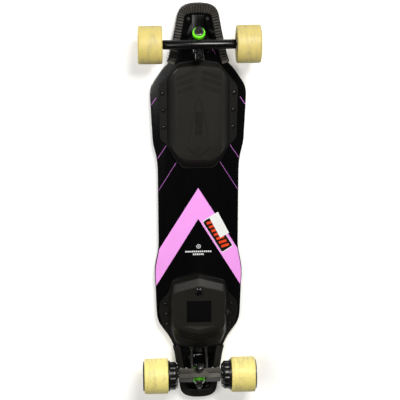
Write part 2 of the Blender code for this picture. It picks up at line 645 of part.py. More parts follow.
def build_fittings():
    """Button, bezel, panel, charge port with its cap, and what the two boxes hold."""
    plateau = DECK_BOTTOM - PLATEAU_DEPTH
    down = Matrix.Translation((BUTTON_X, 0, plateau)) @ Matrix.Rotation(math.pi, 4, "X")
    turned(
        "button_bezel",
        ((0.0070, -0.0060), (BEZEL_RADIUS, -0.0060), (BEZEL_RADIUS, 0.0), (0.0085, 0.0008),
         (0.0070, 0.0008)),
        20, BLACK_STEEL, down,
    )
    button = turned(
        "power_button",
        ((0, -0.0060), (0.0067, -0.0060), (0.0067, 0.0), (0.0058, 0.0006), (0, 0.0006)),
        20, GLOSS_PLASTIC, down,
    )
    low, high, half = PANEL_BOX
    prism("square_panel", rectangle(low, high, half), plateau, plateau + PANEL_THICKNESS, GLOSS_PLASTIC)

    turned(
        "charge_port",
        ((0.0045, -0.0080), (0.0062, -0.0080), (0.0062, 0.0010), (0.0078, 0.0010), (0.0078, 0.0022),
         (0.0045, 0.0022)),
        12, BLACK_STEEL, port_frame(),
    )
    cap = turned(
        "charge_port_cap",
        ((0, 0.0012), (0.0038, 0.0012), (0.0038, 0.0025), (0.0078, 0.0025), (0.0078, 0.0042),
         (0.0070, 0.0048), (0, 0.0048)),
        12, RUBBER, port_frame(),
    )

    build_battery_pack()
    level = DECK_BOTTOM - 0.0252
    prism("battery_management_board", rectangle(0.1700, 0.2600, 0.0300), level, level + 0.0016,
          BOARD_GREEN)
    board_level = DECK_BOTTOM - (PLATEAU_DEPTH - SHELL) + 0.0080
    controller = prism("motor_controller_board", rectangle(-0.2750, -0.2100, 0.0480), board_level,
                       board_level + 0.0016, BOARD_GREEN)
    parts = bmesh.new()
    for x in (-0.2180, -0.2360, -0.2540):
        add_prism(parts, circle(0.0050, 8, (x, 0.0350)), board_level + 0.0008, board_level + 0.0120)
    for x in (-0.2300, -0.2560):
        add_prism(parts, rectangle(x - 0.008, x + 0.008, 0.0180), board_level - 0.0020,
                  board_level + 0.0008)
    boolean(controller, object_from("component_tool", parts, None), "UNION")
    prism("link_cable", link_section(0.0, DECK_TOP - 0.0004, DECK_BOTTOM - 0.0080), -0.0060, 0.0060,
          CABLE_BLACK, UPRIGHT_SECTION)
    return button, cap


# ---------------------------------------------------------------- trucks


def steer_point(along, offset):
    """Local (x, z) of a point given along the steering axis and towards the kingpin's nut."""
    point = STEER_FRAME @ Vector((along, 0.0, offset))
    return point.x, point.z


def build_baseplate(name, truck, pattern):
    """Cast baseplate: a flange on the deck's top, a wedge through the slot and the pivot tower."""
    flange_low = DECK_TOP - AXLE_Z + GAP
    flange_high = flange_low + FLANGE_THICKNESS
    outline = rounded_rectangle(pattern, FLANGE_HALF_LENGTH, FLANGE_HALF_WIDTH, FLANGE_CORNER, 2)
    plate = prism(name, outline, flange_low, flange_high, CAST_BLACK, truck)

    wedge = bmesh.new()
    profile = [
        (-0.0280, flange_low + 0.002), (-0.0280, AXLE_DROP - 0.001), (-0.0310, AXLE_DROP - 0.004),
        (-0.0310, -0.0130), (-0.0262, -0.0040), steer_point(-0.0165, -0.0100),
        steer_point(0.0020, -0.0150),
        steer_point(0.0130, -SEAT_DEPTH), steer_point(0.0430, -SEAT_DEPTH),
        (0.0180, flange_low + 0.002),
    ]
    add_prism(wedge, profile, -0.0095, 0.0095, UPRIGHT_SECTION)
    boolean(plate, object_from(f"{name}_wedge_tool", wedge, None, truck), "UNION")

    gusset = [
        (pattern + 0.0400, 0.0), (pattern + 0.0400, 0.0130), (0.0380, 0.0130), (0.0330, 0.0115),
        (0.0080, 0.0230), (-0.0020, 0.0230), (-0.0060, 0.0110), (-0.0060, 0.0),
    ]
    boss = bmesh.new()
    add_prism(boss, mirrored(gusset), AXLE_DROP + 0.0035, flange_low + 0.0015)
    boolean(plate, object_from(f"{name}_gusset_tool", boss, None, truck), "UNION")

    barrel = bmesh.new()
    add_turned(barrel, ((0, -0.0345), (0.0080, -0.0345), (0.0100, -0.0325), (0.0100, CUP_START),
                        (0, CUP_START)), 14, PIVOT_FRAME)
    boolean(plate, object_from(f"{name}_barrel_tool", barrel, None, truck), "UNION")
    seat = bmesh.new()
    rim = SEAT_BUSHING_RADIUS + 2 * GAP
    add_turned(seat, ((0, -0.0380), (0.0148, -0.0310), (0.0148, -SEAT_RIM), (rim, -SEAT_RIM),
                      (rim, -SEAT_DEPTH), (0, -SEAT_DEPTH)), 16, KINGPIN_FRAME)
    boolean(plate, object_from(f"{name}_seat_tool", seat, None, truck), "UNION")

    bores = bmesh.new()
    head = KINGPIN_HEAD - GAP
    add_turned(bores, ((0, -0.0900), (0.0103, -0.0900), (0.0103, -head), (KINGPIN_HOLE, -head),
                       (KINGPIN_HOLE, -0.0100), (0, -0.0100)), 12, KINGPIN_FRAME)
    add_turned(bores, ((0, CUP_END), (0.0079, CUP_END), (0.0079, -0.0100), (0, -0.0100)), 12, PIVOT_FRAME)
    for sign_x in (-1, 1):
        for sign_y in (-1, 1):
            centre = (pattern + sign_x * HOLE_HALF_LENGTH, sign_y * HOLE_HALF_WIDTH)
            add_prism(bores, circle(BOLT_HOLE, 8, centre), AXLE_DROP, flange_high + 0.005)
    boolean(plate, object_from(f"{name}_bore_tool", bores, None, truck))


def build_kingpin_set(prefix, truck):
    """Kingpin, nut, washer, both bushings and the pivot cup of one truck."""
    frame = truck @ KINGPIN_FRAME
    turned(
        f"{prefix}_kingpin",
        ((0, -KINGPIN_HEAD - 0.0060), (0.0090, -KINGPIN_HEAD - 0.0060), (0.0090, -KINGPIN_HEAD),
         (KINGPIN_RADIUS, -KINGPIN_HEAD), (KINGPIN_RADIUS, 0.0315), (0.0040, 0.0330), (0, 0.0330)),
        12, STEEL, frame,
    )
    bore = KINGPIN_HOLE
    nut_outline = circle(0.0079, 12)
    for corner in range(0, 12, 2):
        nut_outline[corner + 1] = tuple(
            (nut_outline[corner][axis] + nut_outline[(corner + 2) % 12][axis]) / 2 for axis in (0, 1)
        )
    hole = circle(bore, 12)
    rings = [[(x, y, z) for x, y in outline] for outline, z in
             ((hole, 0.0206), (nut_outline, 0.0206), (nut_outline, 0.0295), (hole, 0.0295))]
    nut = bmesh.new()
    add_loft(nut, rings, closed=True)
    object_from(f"{prefix}_kingpin_nut", nut, BLACK_STEEL, frame)
    turned(
        f"{prefix}_cupped_washer",
        ((bore, 0.0178), (0.0096, 0.0178), (0.0099, 0.0164), (0.0109, 0.0164), (0.0106, 0.0196),
         (0.0096, 0.0203), (bore, 0.0203)),
        16, BLACK_STEEL, frame,
    )
    turned(
        f"{prefix}_boardside_bushing",
        ((bore, -SEAT_DEPTH + GAP), (0.0120, -SEAT_DEPTH + GAP), (SEAT_BUSHING_RADIUS, -0.0195),
         (SEAT_BUSHING_RADIUS, -0.0080), (0.0120, -0.0063), (bore, -0.0063)),
        16, GREEN, frame,
    )
    turned(
        f"{prefix}_roadside_bushing",
        ((bore, 0.0063), (0.0130, 0.0063), (BUSHING_RADIUS, 0.0078), (BUSHING_RADIUS, 0.0146),
         (0.0132, 0.0161), (0.0092, 0.0161), (0.0092, 0.0175), (bore, 0.0175)),
        16, GREEN, frame,
    )
    turned(
        f"{prefix}_pivot_cup",
        ((0, CUP_END + GAP), (0.0076, CUP_END + GAP), (0.0076, CUP_START + GAP),
         (0.0092, CUP_START + GAP), (0.0092, -0.0152), (0.0054, -0.0152), (0.0054, -0.0293), (0, -0.0293)),
        12, GREEN, truck @ PIVOT_FRAME,
    )


def add_pivot_and_eye(hanger, prefix, truck, web_outline):
    """Joins the pivot pin, the arm and the kingpin's eye to a hanger."""
    pin = bmesh.new()
    add_turned(pin, ((0, -0.0289), (0.0040, -0.0289), (0.0051, -0.0275), (0.0051, HANGER_END),
                     (0.0085, HANGER_END), (0.0085, 0.0060), (0, 0.0060)), 12, PIVOT_FRAME)
    boolean(hanger, object_from(f"{prefix}_pin_tool", pin, None, truck), "UNION")
    web = bmesh.new()
    add_prism(web, mirrored(web_outline), -0.0045, 0.0045, STEER_FRAME)
    boolean(hanger, object_from(f"{prefix}_web_tool", web, None, truck), "UNION")
    eye = bmesh.new()
    add_turned(eye, ((0, -0.0060), (EYE_RADIUS, -0.0060), (EYE_RADIUS, 0.0060), (0, 0.0060)), 18,
               KINGPIN_FRAME)
    boolean(hanger, object_from(f"{prefix}_eye_tool", eye, None, truck), "UNION")


def build_front_hanger():
    """Round-bar hanger with its web, eye and pivot pin."""
    end = FRONT_HANGER_END
    hanger = turned(
        "front_hanger",
        ((0, -end), (0.0092, -end), (0.0104, -end + 0.0030), (0.0104, end - 0.0030), (0.0092, end),
         (0, end)),
        16, CAST_BLACK, FRONT @ UPRIGHT_SECTION,
    )
    web = [(0.0340, 0.0), (0.0330, 0.0110), (0.0080, 0.0300), (0.0000, 0.0420), (-0.0030, 0.0)]
    add_pivot_and_eye(hanger, "front_hanger", FRONT, web)
    bores = bmesh.new()
    add_turned(bores, ((0, -0.0200), (EYE_HOLE, -0.0200), (EYE_HOLE, 0.0200), (0, 0.0200)), 12,
               KINGPIN_FRAME)
    add_turned(bores, ((0, -0.0900), (0.0043, -0.0900), (0.0043, 0.0900), (0, 0.0900)), 10,
               UPRIGHT_SECTION)
    boolean(hanger, object_from("front_hanger_bore_tool", bores, None, FRONT))
    return hanger


def build_rear_hanger():
    """Machined block hanger that clamps the two motor axles."""
    half = REAR_HANGER_HALF
    section = [
        (0.0136, -0.0015), (0.0136, 0.0215), (0.0126, 0.0225), (-0.0135, 0.0225), (-0.0145, 0.0215),
        (-0.0145, -0.0015), (-0.0135, -0.0025), (0.0126, -0.0025),
    ]
    builder = bmesh.new()
    add_prism(builder, section, -half, half, STEER_FRAME @ UPRIGHT_SECTION)
    hanger = object_from("rear_hanger", builder, HANGER_GREY, REAR)
    web = [(0.0340, 0.0), (0.0330, 0.0110), (0.0150, 0.0200), (0.0080, 0.0200), (0.0080, 0.0)]
    add_pivot_and_eye(hanger, "rear_hanger", REAR, web)

    bores = bmesh.new()
    add_turned(bores, ((0, -0.0200), (EYE_HOLE, -0.0200), (EYE_HOLE, 0.0400), (0, 0.0400)), 12,
               KINGPIN_FRAME)
    hole = MOTOR_AXLE_RADIUS + GAP
    for side in (-1, 1):
        across = Matrix.Rotation(-side * math.pi / 2, 4, "X")
        add_turned(bores, ((0, AXLE_ROOT - GAP), (hole, AXLE_ROOT - GAP), (hole, 0.0600), (0, 0.0600)), 12,
                   across)
        add_turned(bores, ((0, -0.0300), (CABLE_HOLE, -0.0300), (CABLE_HOLE, 0.0040), (0, 0.0040)), 10,
                   STEER_FRAME @ Matrix.Translation((CABLE_ALONG, side * CABLE_Y, 0)))
    notch = [(-0.0155, NOTCH_START), (0.0150, NOTCH_END), (0.0150, 0.0300), (-0.0155, 0.0300)]
    add_prism(bores, notch, -NOTCH_HALF_WIDTH, NOTCH_HALF_WIDTH, STEER_FRAME @ UPRIGHT_SECTION)
    boolean(hanger, object_from("rear_hanger_bore_tool", bores, None, REAR))
    return hanger


def build_front_axle():
    """The steel axle through the front hanger, threaded at both ends."""
    return turned(
        "front_axle",
        ((0, -0.1285), (0.0032, -0.1285), (0.0040, -0.1275), (0.0040, 0.1275), (0.0032, 0.1285),
         (0, 0.1285)),
        10, STEEL, FRONT @ UPRIGHT_SECTION,
    )


def build_front_wheel(side, side_name):
    """Urethane tyre, plastic core, two bearings and the axle nut of one front wheel."""
    frame = wheel_frame(FRONT, side)
    inner, outer = FRONT_BEARINGS
    radius = WHEEL_RADIUS
    bond = CORE_RADIUS + GAP
    tyre = turned(
        f"front_{side_name}_tyre",
        ((bond, 0.0840), (0.0275, FRONT_WHEEL_INNER), (radius - 0.0020, FRONT_WHEEL_INNER),
         (radius, FRONT_WHEEL_INNER + 0.0020), (radius, FRONT_WHEEL_OUTER - 0.0020),
         (radius - 0.0020, FRONT_WHEEL_OUTER), (0.0290, FRONT_WHEEL_OUTER), (bond, 0.1250)),
        24, CREAM, frame,
    )
    seat = BEARING_RADIUS + GAP
    far = outer - GAP
    near = inner + BEARING_WIDTH + GAP
    core = turned(
        f"front_{side_name}_core",
        ((seat, 0.0815), (0.0150, 0.0815), (0.0180, 0.0850), (CORE_RADIUS, 0.0850), (CORE_RADIUS, 0.1240),
         (0.0180, 0.1240), (0.0150, 0.1195), (seat, 0.1195), (seat, far), (0.0085, far), (0.0085, near),
         (seat, near)),
        14, CORE_PLASTIC, frame,
    )
    bore = BEARING_BORE + GAP
    bearings = []
    for place, start in (("inner", inner), ("outer", outer)):
        end = start + BEARING_WIDTH
        bearings.append(turned(
            f"front_{side_name}_{place}_bearing",
            ((bore, start), (BEARING_RADIUS, start), (BEARING_RADIUS, end), (bore, end)),
            12, STEEL, frame,
        ))
    start = outer + BEARING_WIDTH + GAP
    nut = turned(
        f"front_{side_name}_axle_nut",
        ((NUT_BORE, start), (0.0072, start), (0.0072, start + 0.0070), (NUT_BORE, start + 0.0070)),
        6, STEEL, frame, 20.0,
    )
    return [tyre, core, *bearings], nut


def build_motor(side, side_name):
    """Hub motor: rotor can, outer cover and tyre on one body, the stator and its axle on the hanger."""
    frame = wheel_frame(REAR, side)
    axle_hole = MOTOR_AXLE_RADIUS + GAP
    tube_end = 0.1275
    can = turned(
        f"{side_name}_motor_can",
        ((axle_hole, MOTOR_INNER), (0.0260, MOTOR_INNER), (MOTOR_RADIUS, MOTOR_INNER + 0.0050),
         (MOTOR_RADIUS, 0.0696), (0.0360, 0.0696), (0.0360, REAR_WHEEL_INNER - GAP),
         (MOTOR_RADIUS, REAR_WHEEL_INNER - GAP), (MOTOR_RADIUS, tube_end), (0.0295, tube_end),
         (0.0295, 0.0600), (axle_hole, 0.0600)),
        20, BLACK_STEEL, frame,
    )
    cover = turned(
        f"{side_name}_motor_cover",
        ((0, MOTOR_OUTER), (0.0335, MOTOR_OUTER), (0.0350, MOTOR_OUTER - 0.0015),
         (0.0350, REAR_WHEEL_OUTER + GAP), (0.0330, REAR_WHEEL_OUTER + GAP), (0.0330, tube_end + GAP),
         (0.0292, tube_end + GAP), (0.0292, 0.1240), (0.0110, 0.1240), (0.0110, 0.1190),
         (axle_hole, 0.1190), (axle_hole, 0.1275), (0, 0.1275)),
        20, BLACK_STEEL, frame,
    )
    radius = WHEEL_RADIUS
    bond = MOTOR_RADIUS + GAP
    tyre = turned(
        f"rear_{side_name}_tyre",
        ((bond, REAR_WHEEL_INNER), (radius - 0.0015, REAR_WHEEL_INNER),
         (radius, REAR_WHEEL_INNER + 0.0015), (radius, REAR_WHEEL_OUTER - 0.0015),
         (radius - 0.0015, REAR_WHEEL_OUTER), (bond, REAR_WHEEL_OUTER)),
        24, CREAM, frame,
    )
    outline = []
    for tooth in range(STATOR_TEETH):
        for share, reach in ((0.0, 0.0150), (0.40, 0.0150), (0.42, 0.0285), (0.98, 0.0285)):
            angle = math.tau * (tooth + share) / STATOR_TEETH
            outline.append((reach * math.cos(angle), reach * math.sin(angle)))
    stator = prism(f"{side_name}_motor_stator", outline, 0.0640, 0.1140, COPPER, frame)
    shaft = bmesh.new()
    add_turned(shaft, ((0, AXLE_ROOT), (MOTOR_AXLE_RADIUS, AXLE_ROOT), (MOTOR_AXLE_RADIUS, 0.1270),
                       (0, 0.1270)), 12)
    boolean(stator, object_from(f"{side_name}_shaft_tool", shaft, None, frame), "UNION")
    return [can, cover, tyre], stator


def build_truck_bolts():
    """Eight bolts, each with its nut run up into the pocket under the deck."""
    head = DECK_TOP + GAP + FLANGE_THICKNESS + GAP
    nut_top = DECK_BOTTOM + POCKET_DEPTH - GAP
    sides = 12
    shank = circle(0.0024, sides)
    hexagon = circle(0.0046, sides)
    for corner in range(0, sides, 2):
        hexagon[corner + 1] = tuple(
            (hexagon[corner][axis] + hexagon[(corner + 2) % sides][axis]) / 2 for axis in (0, 1)
        )
    levels = (
        (nut_top - 0.0062, shank), (nut_top - 0.0050, shank), (nut_top - 0.0050, hexagon),
        (nut_top, hexagon), (nut_top, shank), (head, shank), (head, circle(0.0046, sides)),
        (head + 0.0012, circle(0.0046, sides)), (head + 0.0028, circle(0.0036, sides)),
    )
    for end, truck, pattern in (("front", FRONT, FRONT_PATTERN), ("rear", REAR, REAR_PATTERN)):
        for number, point in enumerate(truck_holes(truck, pattern), start=1):
            builder = bmesh.new()
            add_loft(builder, [[(x, y, level) for x, y in outline] for level, outline in levels])
            place = Matrix.Translation((point.x, point.y, 0))
            object_from(f"{end}_truck_bolt_{number}", builder, BLACK_STEEL, place)


def build_motor_cable(side, name):
    """A motor cable from the electronics box to the rear hanger, beside the pivot tower."""
    entry = REAR @ STEER_FRAME @ Vector((CABLE_ALONG, 0.0, -0.0025))
    wall_level = DECK_BOTTOM - CABLE_EXIT_DEPTH
    route = [
        Vector((-0.3300, wall_level)), Vector((-0.3400, wall_level)), Vector((-0.3490, wall_level - 0.0040)),
        Vector((entry.x + 0.0120, entry.z + 0.0125)), Vector((entry.x, entry.z)),
        Vector((entry.x - 0.0030, entry.z - 0.0030)),
    ]
    samples = []
    for index in range(len(route) - 1):
        before = route[max(index - 1, 0)]
        after = route[min(index + 2, len(route) - 1)]
        start, finish = route[index], route[index + 1]
        for step in range(2):
            t = step / 2
            samples.append(0.5 * (
                2 * start + (finish - before) * t
                + (2 * before - 5 * start + 4 * finish - after) * t**2
                + (3 * start - before - 3 * finish + after) * t**3
            ))
    samples.append(route[-1])
    curve = bpy.data.curves.new(name, "CURVE")
    curve.dimensions = "3D"
    curve.bevel_depth = CABLE_RADIUS
    curve.bevel_resolution = 2
    curve.use_fill_caps = True
    spline = curve.splines.new("POLY")
    spline.points.add(len(samples) - 1)
    for point, sample in zip(spline.points, samples):
        point.co = (sample.x, side * CABLE_Y, sample.y, 1.0)
    curve.materials.append(CABLE_BLACK)
    bpy.context.scene.collection.objects.link(bpy.data.objects.new(name, curve))


# ---------------------------------------------------------------- assembly


def main():
    """Builds every piece and parents the moving ones to empties on their joints' axes."""
    build_deck()
    build_grip_tape()
    build_bumper("nose_bumper", DECK_TIP, NOSE_GUARD_START)
    build_bumper("tail_bumper", -DECK_TIP, TAIL_GUARD_START)
    build_enclosures()
    button, cap = build_fittings()
    parent_to(axis_empty("button_axis", button.matrix_world.copy()), button)
    cap_hinge = port_frame() @ Matrix.Translation((0.0095, 0, 0.0025))
    parent_to(axis_empty("cap_axis", cap_hinge), cap)

    build_truck_bolts()
    for end, truck, pattern in (("front", FRONT, FRONT_PATTERN), ("rear", REAR, REAR_PATTERN)):
        build_baseplate(f"{end}_baseplate", truck, pattern)
        build_kingpin_set(end, truck)
    build_motor_cable(1, "left_motor_cable")
    build_motor_cable(-1, "right_motor_cable")

    front_axis = axis_empty("front_truck_axis", FRONT @ STEER_FRAME)
    rear_axis = axis_empty("rear_truck_axis", REAR @ STEER_FRAME)
    parent_to(front_axis, build_front_hanger(), build_front_axle())
    parent_to(rear_axis, build_rear_hanger())
    for side, side_name in ((1, "left"), (-1, "right")):
        front_wheel = axis_empty(f"front_{side_name}_wheel_axis", wheel_frame(FRONT, side), front_axis)
        wheel, nut = build_front_wheel(side, side_name)
        parent_to(front_wheel, *wheel)
        parent_to(front_axis, nut)
        rotor, stator = build_motor(side, side_name)
        rear_wheel = axis_empty(f"rear_{side_name}_wheel_axis", wheel_frame(REAR, side), rear_axis)
        parent_to(rear_wheel, *rotor)
        parent_to(rear_axis, stator)


main()
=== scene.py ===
"""Looks of the electric skateboard: fine geometry, materials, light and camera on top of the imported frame.

Lengths are in metres. Profiles are (radius, height) pairs and outlines are (x, y) pairs.
"""
import math

import bmesh
import bpy
from mathutils import Matrix, Vector, kdtree


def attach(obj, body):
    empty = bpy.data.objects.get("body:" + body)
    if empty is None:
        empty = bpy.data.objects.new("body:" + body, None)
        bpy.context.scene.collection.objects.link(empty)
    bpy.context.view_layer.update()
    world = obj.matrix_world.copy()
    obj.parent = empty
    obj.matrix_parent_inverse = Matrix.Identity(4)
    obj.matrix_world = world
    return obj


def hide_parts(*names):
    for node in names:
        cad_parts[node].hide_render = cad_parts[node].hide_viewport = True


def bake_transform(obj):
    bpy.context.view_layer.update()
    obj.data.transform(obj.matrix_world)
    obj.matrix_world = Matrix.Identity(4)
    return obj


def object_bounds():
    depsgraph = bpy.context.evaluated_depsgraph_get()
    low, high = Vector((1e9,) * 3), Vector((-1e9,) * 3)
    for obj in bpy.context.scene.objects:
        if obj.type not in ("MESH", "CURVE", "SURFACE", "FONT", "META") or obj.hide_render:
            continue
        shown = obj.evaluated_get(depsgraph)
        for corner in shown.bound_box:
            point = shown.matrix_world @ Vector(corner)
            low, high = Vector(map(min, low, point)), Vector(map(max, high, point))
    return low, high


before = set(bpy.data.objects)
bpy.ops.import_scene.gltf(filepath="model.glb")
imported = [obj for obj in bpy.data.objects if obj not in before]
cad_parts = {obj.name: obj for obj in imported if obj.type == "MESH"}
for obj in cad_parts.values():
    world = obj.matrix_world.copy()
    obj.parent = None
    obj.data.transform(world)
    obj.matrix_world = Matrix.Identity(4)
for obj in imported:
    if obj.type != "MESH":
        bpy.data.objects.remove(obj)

CAD_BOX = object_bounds()

# ---------------------------------------------------------------- dimensions, as in the CAD
AXLE_Z = 0.0415
DECK_BOTTOM = 0.0915
DECK_TOP = 0.1045
DECK_TIP = 0.4715
TIP_START = 0.438
HALF_WHEELBASE = 0.394
NOSE_GUARD_START = 0.345
TAIL_GUARD_START = -0.3435
SHOULDER_DEPTH = 0.005
PLATEAU_DEPTH = 0.03
PLATEAU = DECK_BOTTOM - PLATEAU_DEPTH
WHEEL_RADIUS = 0.0415
DECK_SIDES = (
    (-0.472, 0.038), (-0.438, 0.0425), (-0.378, 0.051), (-0.352, 0.055), (-0.34, 0.059),
    (-0.326, 0.0645), (-0.31, 0.073), (-0.294, 0.084), (-0.279, 0.093), (-0.263, 0.0972),
    (-0.248, 0.0984), (-0.217, 0.0994), (-0.187, 0.1002), (-0.16, 0.1016), (-0.144, 0.1012),
    (-0.125, 0.0985), (-0.1, 0.0937), (-0.08, 0.092), (0.09, 0.0922), (0.105, 0.0926),
    (0.12, 0.094), (0.134, 0.0964), (0.148, 0.0997), (0.164, 0.1026), (0.176, 0.1034),
    (0.204, 0.1048), (0.245, 0.1066), (0.27, 0.1075), (0.287, 0.1056), (0.3, 0.0992),
    (0.314, 0.0902), (0.327, 0.0812), (0.334, 0.0755), (0.342, 0.068), (0.352, 0.064),
    (0.405, 0.0514), (0.438, 0.045), (0.472, 0.0385),
)
FRONT_PATTERN, REAR_PATTERN = 0.015, 0.011
BOLT_X, BOLT_Y = 0.03175, 0.02065
BOLT_HOLE = 0.00275
AXIS_FOOT = Vector((-0.0070711, 0.0, 0.0070711))
EYE_DISTANCE = 0.028
SEAT_DEPTH = 0.0216
SEAT_RIM = 0.017
BUTTON_X = -0.1945
KINGPIN_HEAD = 0.04
ENCLOSURE_SCREWS = (
    (0.276, 0.08), (0.237, 0.0785), (0.198, 0.078),
    (-0.23, 0.0775), (-0.2555, 0.0755), (-0.281, 0.0745),
)

FRONT = Matrix.Translation((HALF_WHEELBASE, 0, AXLE_Z))
REAR = Matrix.Translation((-HALF_WHEELBASE, 0, AXLE_Z)) @ Matrix.Rotation(math.pi, 4, "Z")
HALF_TURN = math.sqrt(0.5)
STEER_FRAME = Matrix.Translation(AXIS_FOOT) @ Matrix((
    (HALF_TURN, 0, HALF_TURN, 0), (0, -1, 0, 0), (HALF_TURN, 0, -HALF_TURN, 0), (0, 0, 0, 1),
))
KINGPIN_FRAME = STEER_FRAME @ Matrix.Translation((EYE_DISTANCE, 0, 0))
PIVOT_FRAME = STEER_FRAME @ Matrix.Rotation(math.pi / 2, 4, "Y")
UPRIGHT = Matrix.Rotation(math.pi / 2, 4, "X")
FACE_DOWN = Matrix.Rotation(math.pi, 4, "X")
TRUCKS = (("front", FRONT, FRONT_PATTERN), ("rear", REAR, REAR_PATTERN))

VENEER_PITCH = 0.0037             # of the light and dark lines on the deck's edge
CREST = DECK_BOTTOM - 0.0028      # rib crests of the nose bumper
ROAD_FILM = (0.33, 0.29, 0.17)    # colour of the grey film on the tyres
CABLE_RADIUS, CABLE_Y = 0.0031, 0.017
GROOVE_DEPTH, RECESS_DEPTH = 0.0018, 0.0012
SKY = ((0.0, 0.03), (0.3, 0.04), (0.46, 0.1), (0.52, 0.75), (1.0, 0.85))     # brightness, down to up

# ---------------------------------------------------------------- materials


def node(tree, kind, **values):
    """Adds a shader node and sets its attributes and sockets."""
    made = tree.nodes.new(kind)
    for key, value in values.items():
        if key in made.inputs.keys():
            made.inputs[key].default_value = value
        else:
            setattr(made, key, value)
    return made


def principled(name):
    """A new material with its node tree and its shader."""
    material = bpy.data.materials.new(name)
    material.use_nodes = True
    return material, material.node_tree, material.node_tree.nodes["Principled BSDF"]


def map_range(tree, source, inputs, outputs):
    """Maps a value from one range to another."""
    made = node(tree, "ShaderNodeMapRange")
    for key, value in zip(("From Min", "From Max", "To Min", "To Max"), (*inputs, *outputs)):
        made.inputs[key].default_value = value
    tree.links.new(source, made.inputs["Value"])
    return made.outputs["Result"]


def colour_ramp(tree, source, stops):
    """Turns a value into a colour by stops of (position, colour)."""
    made = node(tree, "ShaderNodeValToRGB")
    elements = made.color_ramp.elements
    for element, (position, colour) in zip(elements, (stops[0], stops[-1])):
        element.position = position
        element.color = (*colour, 1.0)
    for position, colour in stops[1:-1]:
        elements.new(position).color = (*colour, 1.0)
    tree.links.new(source, made.inputs["Fac"])
    return made.outputs["Color"]


def object_place(tree, scale=(1, 1, 1), shift=(0, 0, 0)):
    """Object coordinates, scaled and shifted."""
    mapping = node(tree, "ShaderNodeMapping")
    mapping.inputs["Scale"].default_value = scale
    mapping.inputs["Location"].default_value = shift
    tree.links.new(node(tree, "ShaderNodeTexCoord").outputs["Object"], mapping.inputs["Vector"])
    return mapping.outputs["Vector"]


def noise(tree, place, scale, detail, roughness):
    """Noise at the given coordinates."""
    made = node(tree, "ShaderNodeTexNoise", Scale=scale, Detail=detail, Roughness=roughness)
    tree.links.new(place, made.inputs["Vector"])
    return made.outputs["Fac"]


def object_height(tree):
    """Height in object coordinates."""
    split = node(tree, "ShaderNodeSeparateXYZ")
    tree.links.new(node(tree, "ShaderNodeTexCoord").outputs["Object"], split.inputs["Vector"])
    return split.outputs["Z"]


def surface(name, colour, roughness, metallic=0.0, spread=0.25, grain=400.0, bump=0.1, patch=12.0,
            rough_spread=0.12, coat=0.0, specular=0.5, second=None, stretch=(1, 1, 1), depth=0.0003):
    """A Principled material with patches of colour, uneven gloss and fine grain from object coordinates."""
    material, tree, shader = principled(name)
    shader.inputs["Metallic"].default_value = metallic
    shader.inputs["Coat Weight"].default_value = coat
    shader.inputs["Coat Roughness"].default_value = 0.08
    shader.inputs["Specular IOR Level"].default_value = specular
    place = object_place(tree, stretch)
    patches = noise(tree, place, patch, 5.0, 0.6)
    fine = noise(tree, place, grain, 3.0, 0.7)
    dark = [max(channel * (1 - spread), 0.0) for channel in colour]
    light = second if second else [min(channel * (1 + spread), 1.0) for channel in colour]
    tint = colour_ramp(tree, patches, ((0.3, dark), (0.72, light)))
    tree.links.new(tint, shader.inputs["Base Color"])
    gloss_range = (max(roughness - rough_spread, 0.03), min(roughness + rough_spread, 1.0))
    gloss = map_range(tree, fine, (0.3, 0.7), gloss_range)
    tree.links.new(gloss, shader.inputs["Roughness"])
    height = node(tree, "ShaderNodeBump", Strength=bump, Distance=depth)
    tree.links.new(fine, height.inputs["Height"])
    tree.links.new(height.outputs["Normal"], shader.inputs["Normal"])
    return material


def ply_edge():
    """Sawn edge of the laminated deck: thin veneers seen as light and dark lines."""
    material = surface("ply_edge", (0.3, 0.19, 0.1), 0.45, spread=0.35, grain=900, bump=0.2,
                       stretch=(0.3, 0.3, 6))
    tree = material.node_tree
    wave = node(tree, "ShaderNodeMath", operation="SINE")
    pitch = node(tree, "ShaderNodeMath", operation="MULTIPLY")
    pitch.inputs[1].default_value = math.tau / VENEER_PITCH
    tree.links.new(object_height(tree), pitch.inputs[0])
    tree.links.new(pitch.outputs[0], wave.inputs[0])
    share = map_range(tree, wave.outputs[0], (-1.0, 1.0), (0.0, 1.0))
    band = colour_ramp(tree, share, ((0.35, (0.01, 0.008, 0.007)), (0.75, (0.24, 0.16, 0.09))))
    tree.links.new(band, tree.nodes["Principled BSDF"].inputs["Base Color"])
    return material


def painted_light_and_shade_by_height(material, low, high, at_low, at_high):
    """Scales a material's colour between two heights, to paint light and shade by height."""
    tree = material.node_tree
    shader = tree.nodes["Principled BSDF"]
    base = shader.inputs["Base Color"].links[0].from_socket
    shade = node(tree, "ShaderNodeVectorMath", operation="SCALE")
    tree.links.new(base, shade.inputs[0])
    share = map_range(tree, object_height(tree), (low, high), (at_low, at_high))
    tree.links.new(share, shade.inputs["Scale"])
    tree.links.new(shade.outputs["Vector"], shader.inputs["Base Color"])
    return material


def ribbed_rubber_painted_light():
    """Rubber with painted highlights on its rib crests and painted shade in the grooves between them."""
    material = surface("ribbed_rubber_painted_light", (0.02, 0.018, 0.014), 0.5, spread=0.35, grain=1500, bump=0.5,
                       patch=40, rough_spread=0.2, specular=0.3, second=(0.038, 0.034, 0.028))
    # Painted highlight and shade: the crests are lit up to 3.1 times, the grooves darkened to 0.2.
    return painted_light_and_shade_by_height(material, CREST, CREST + 0.0016, 3.1, 0.2)


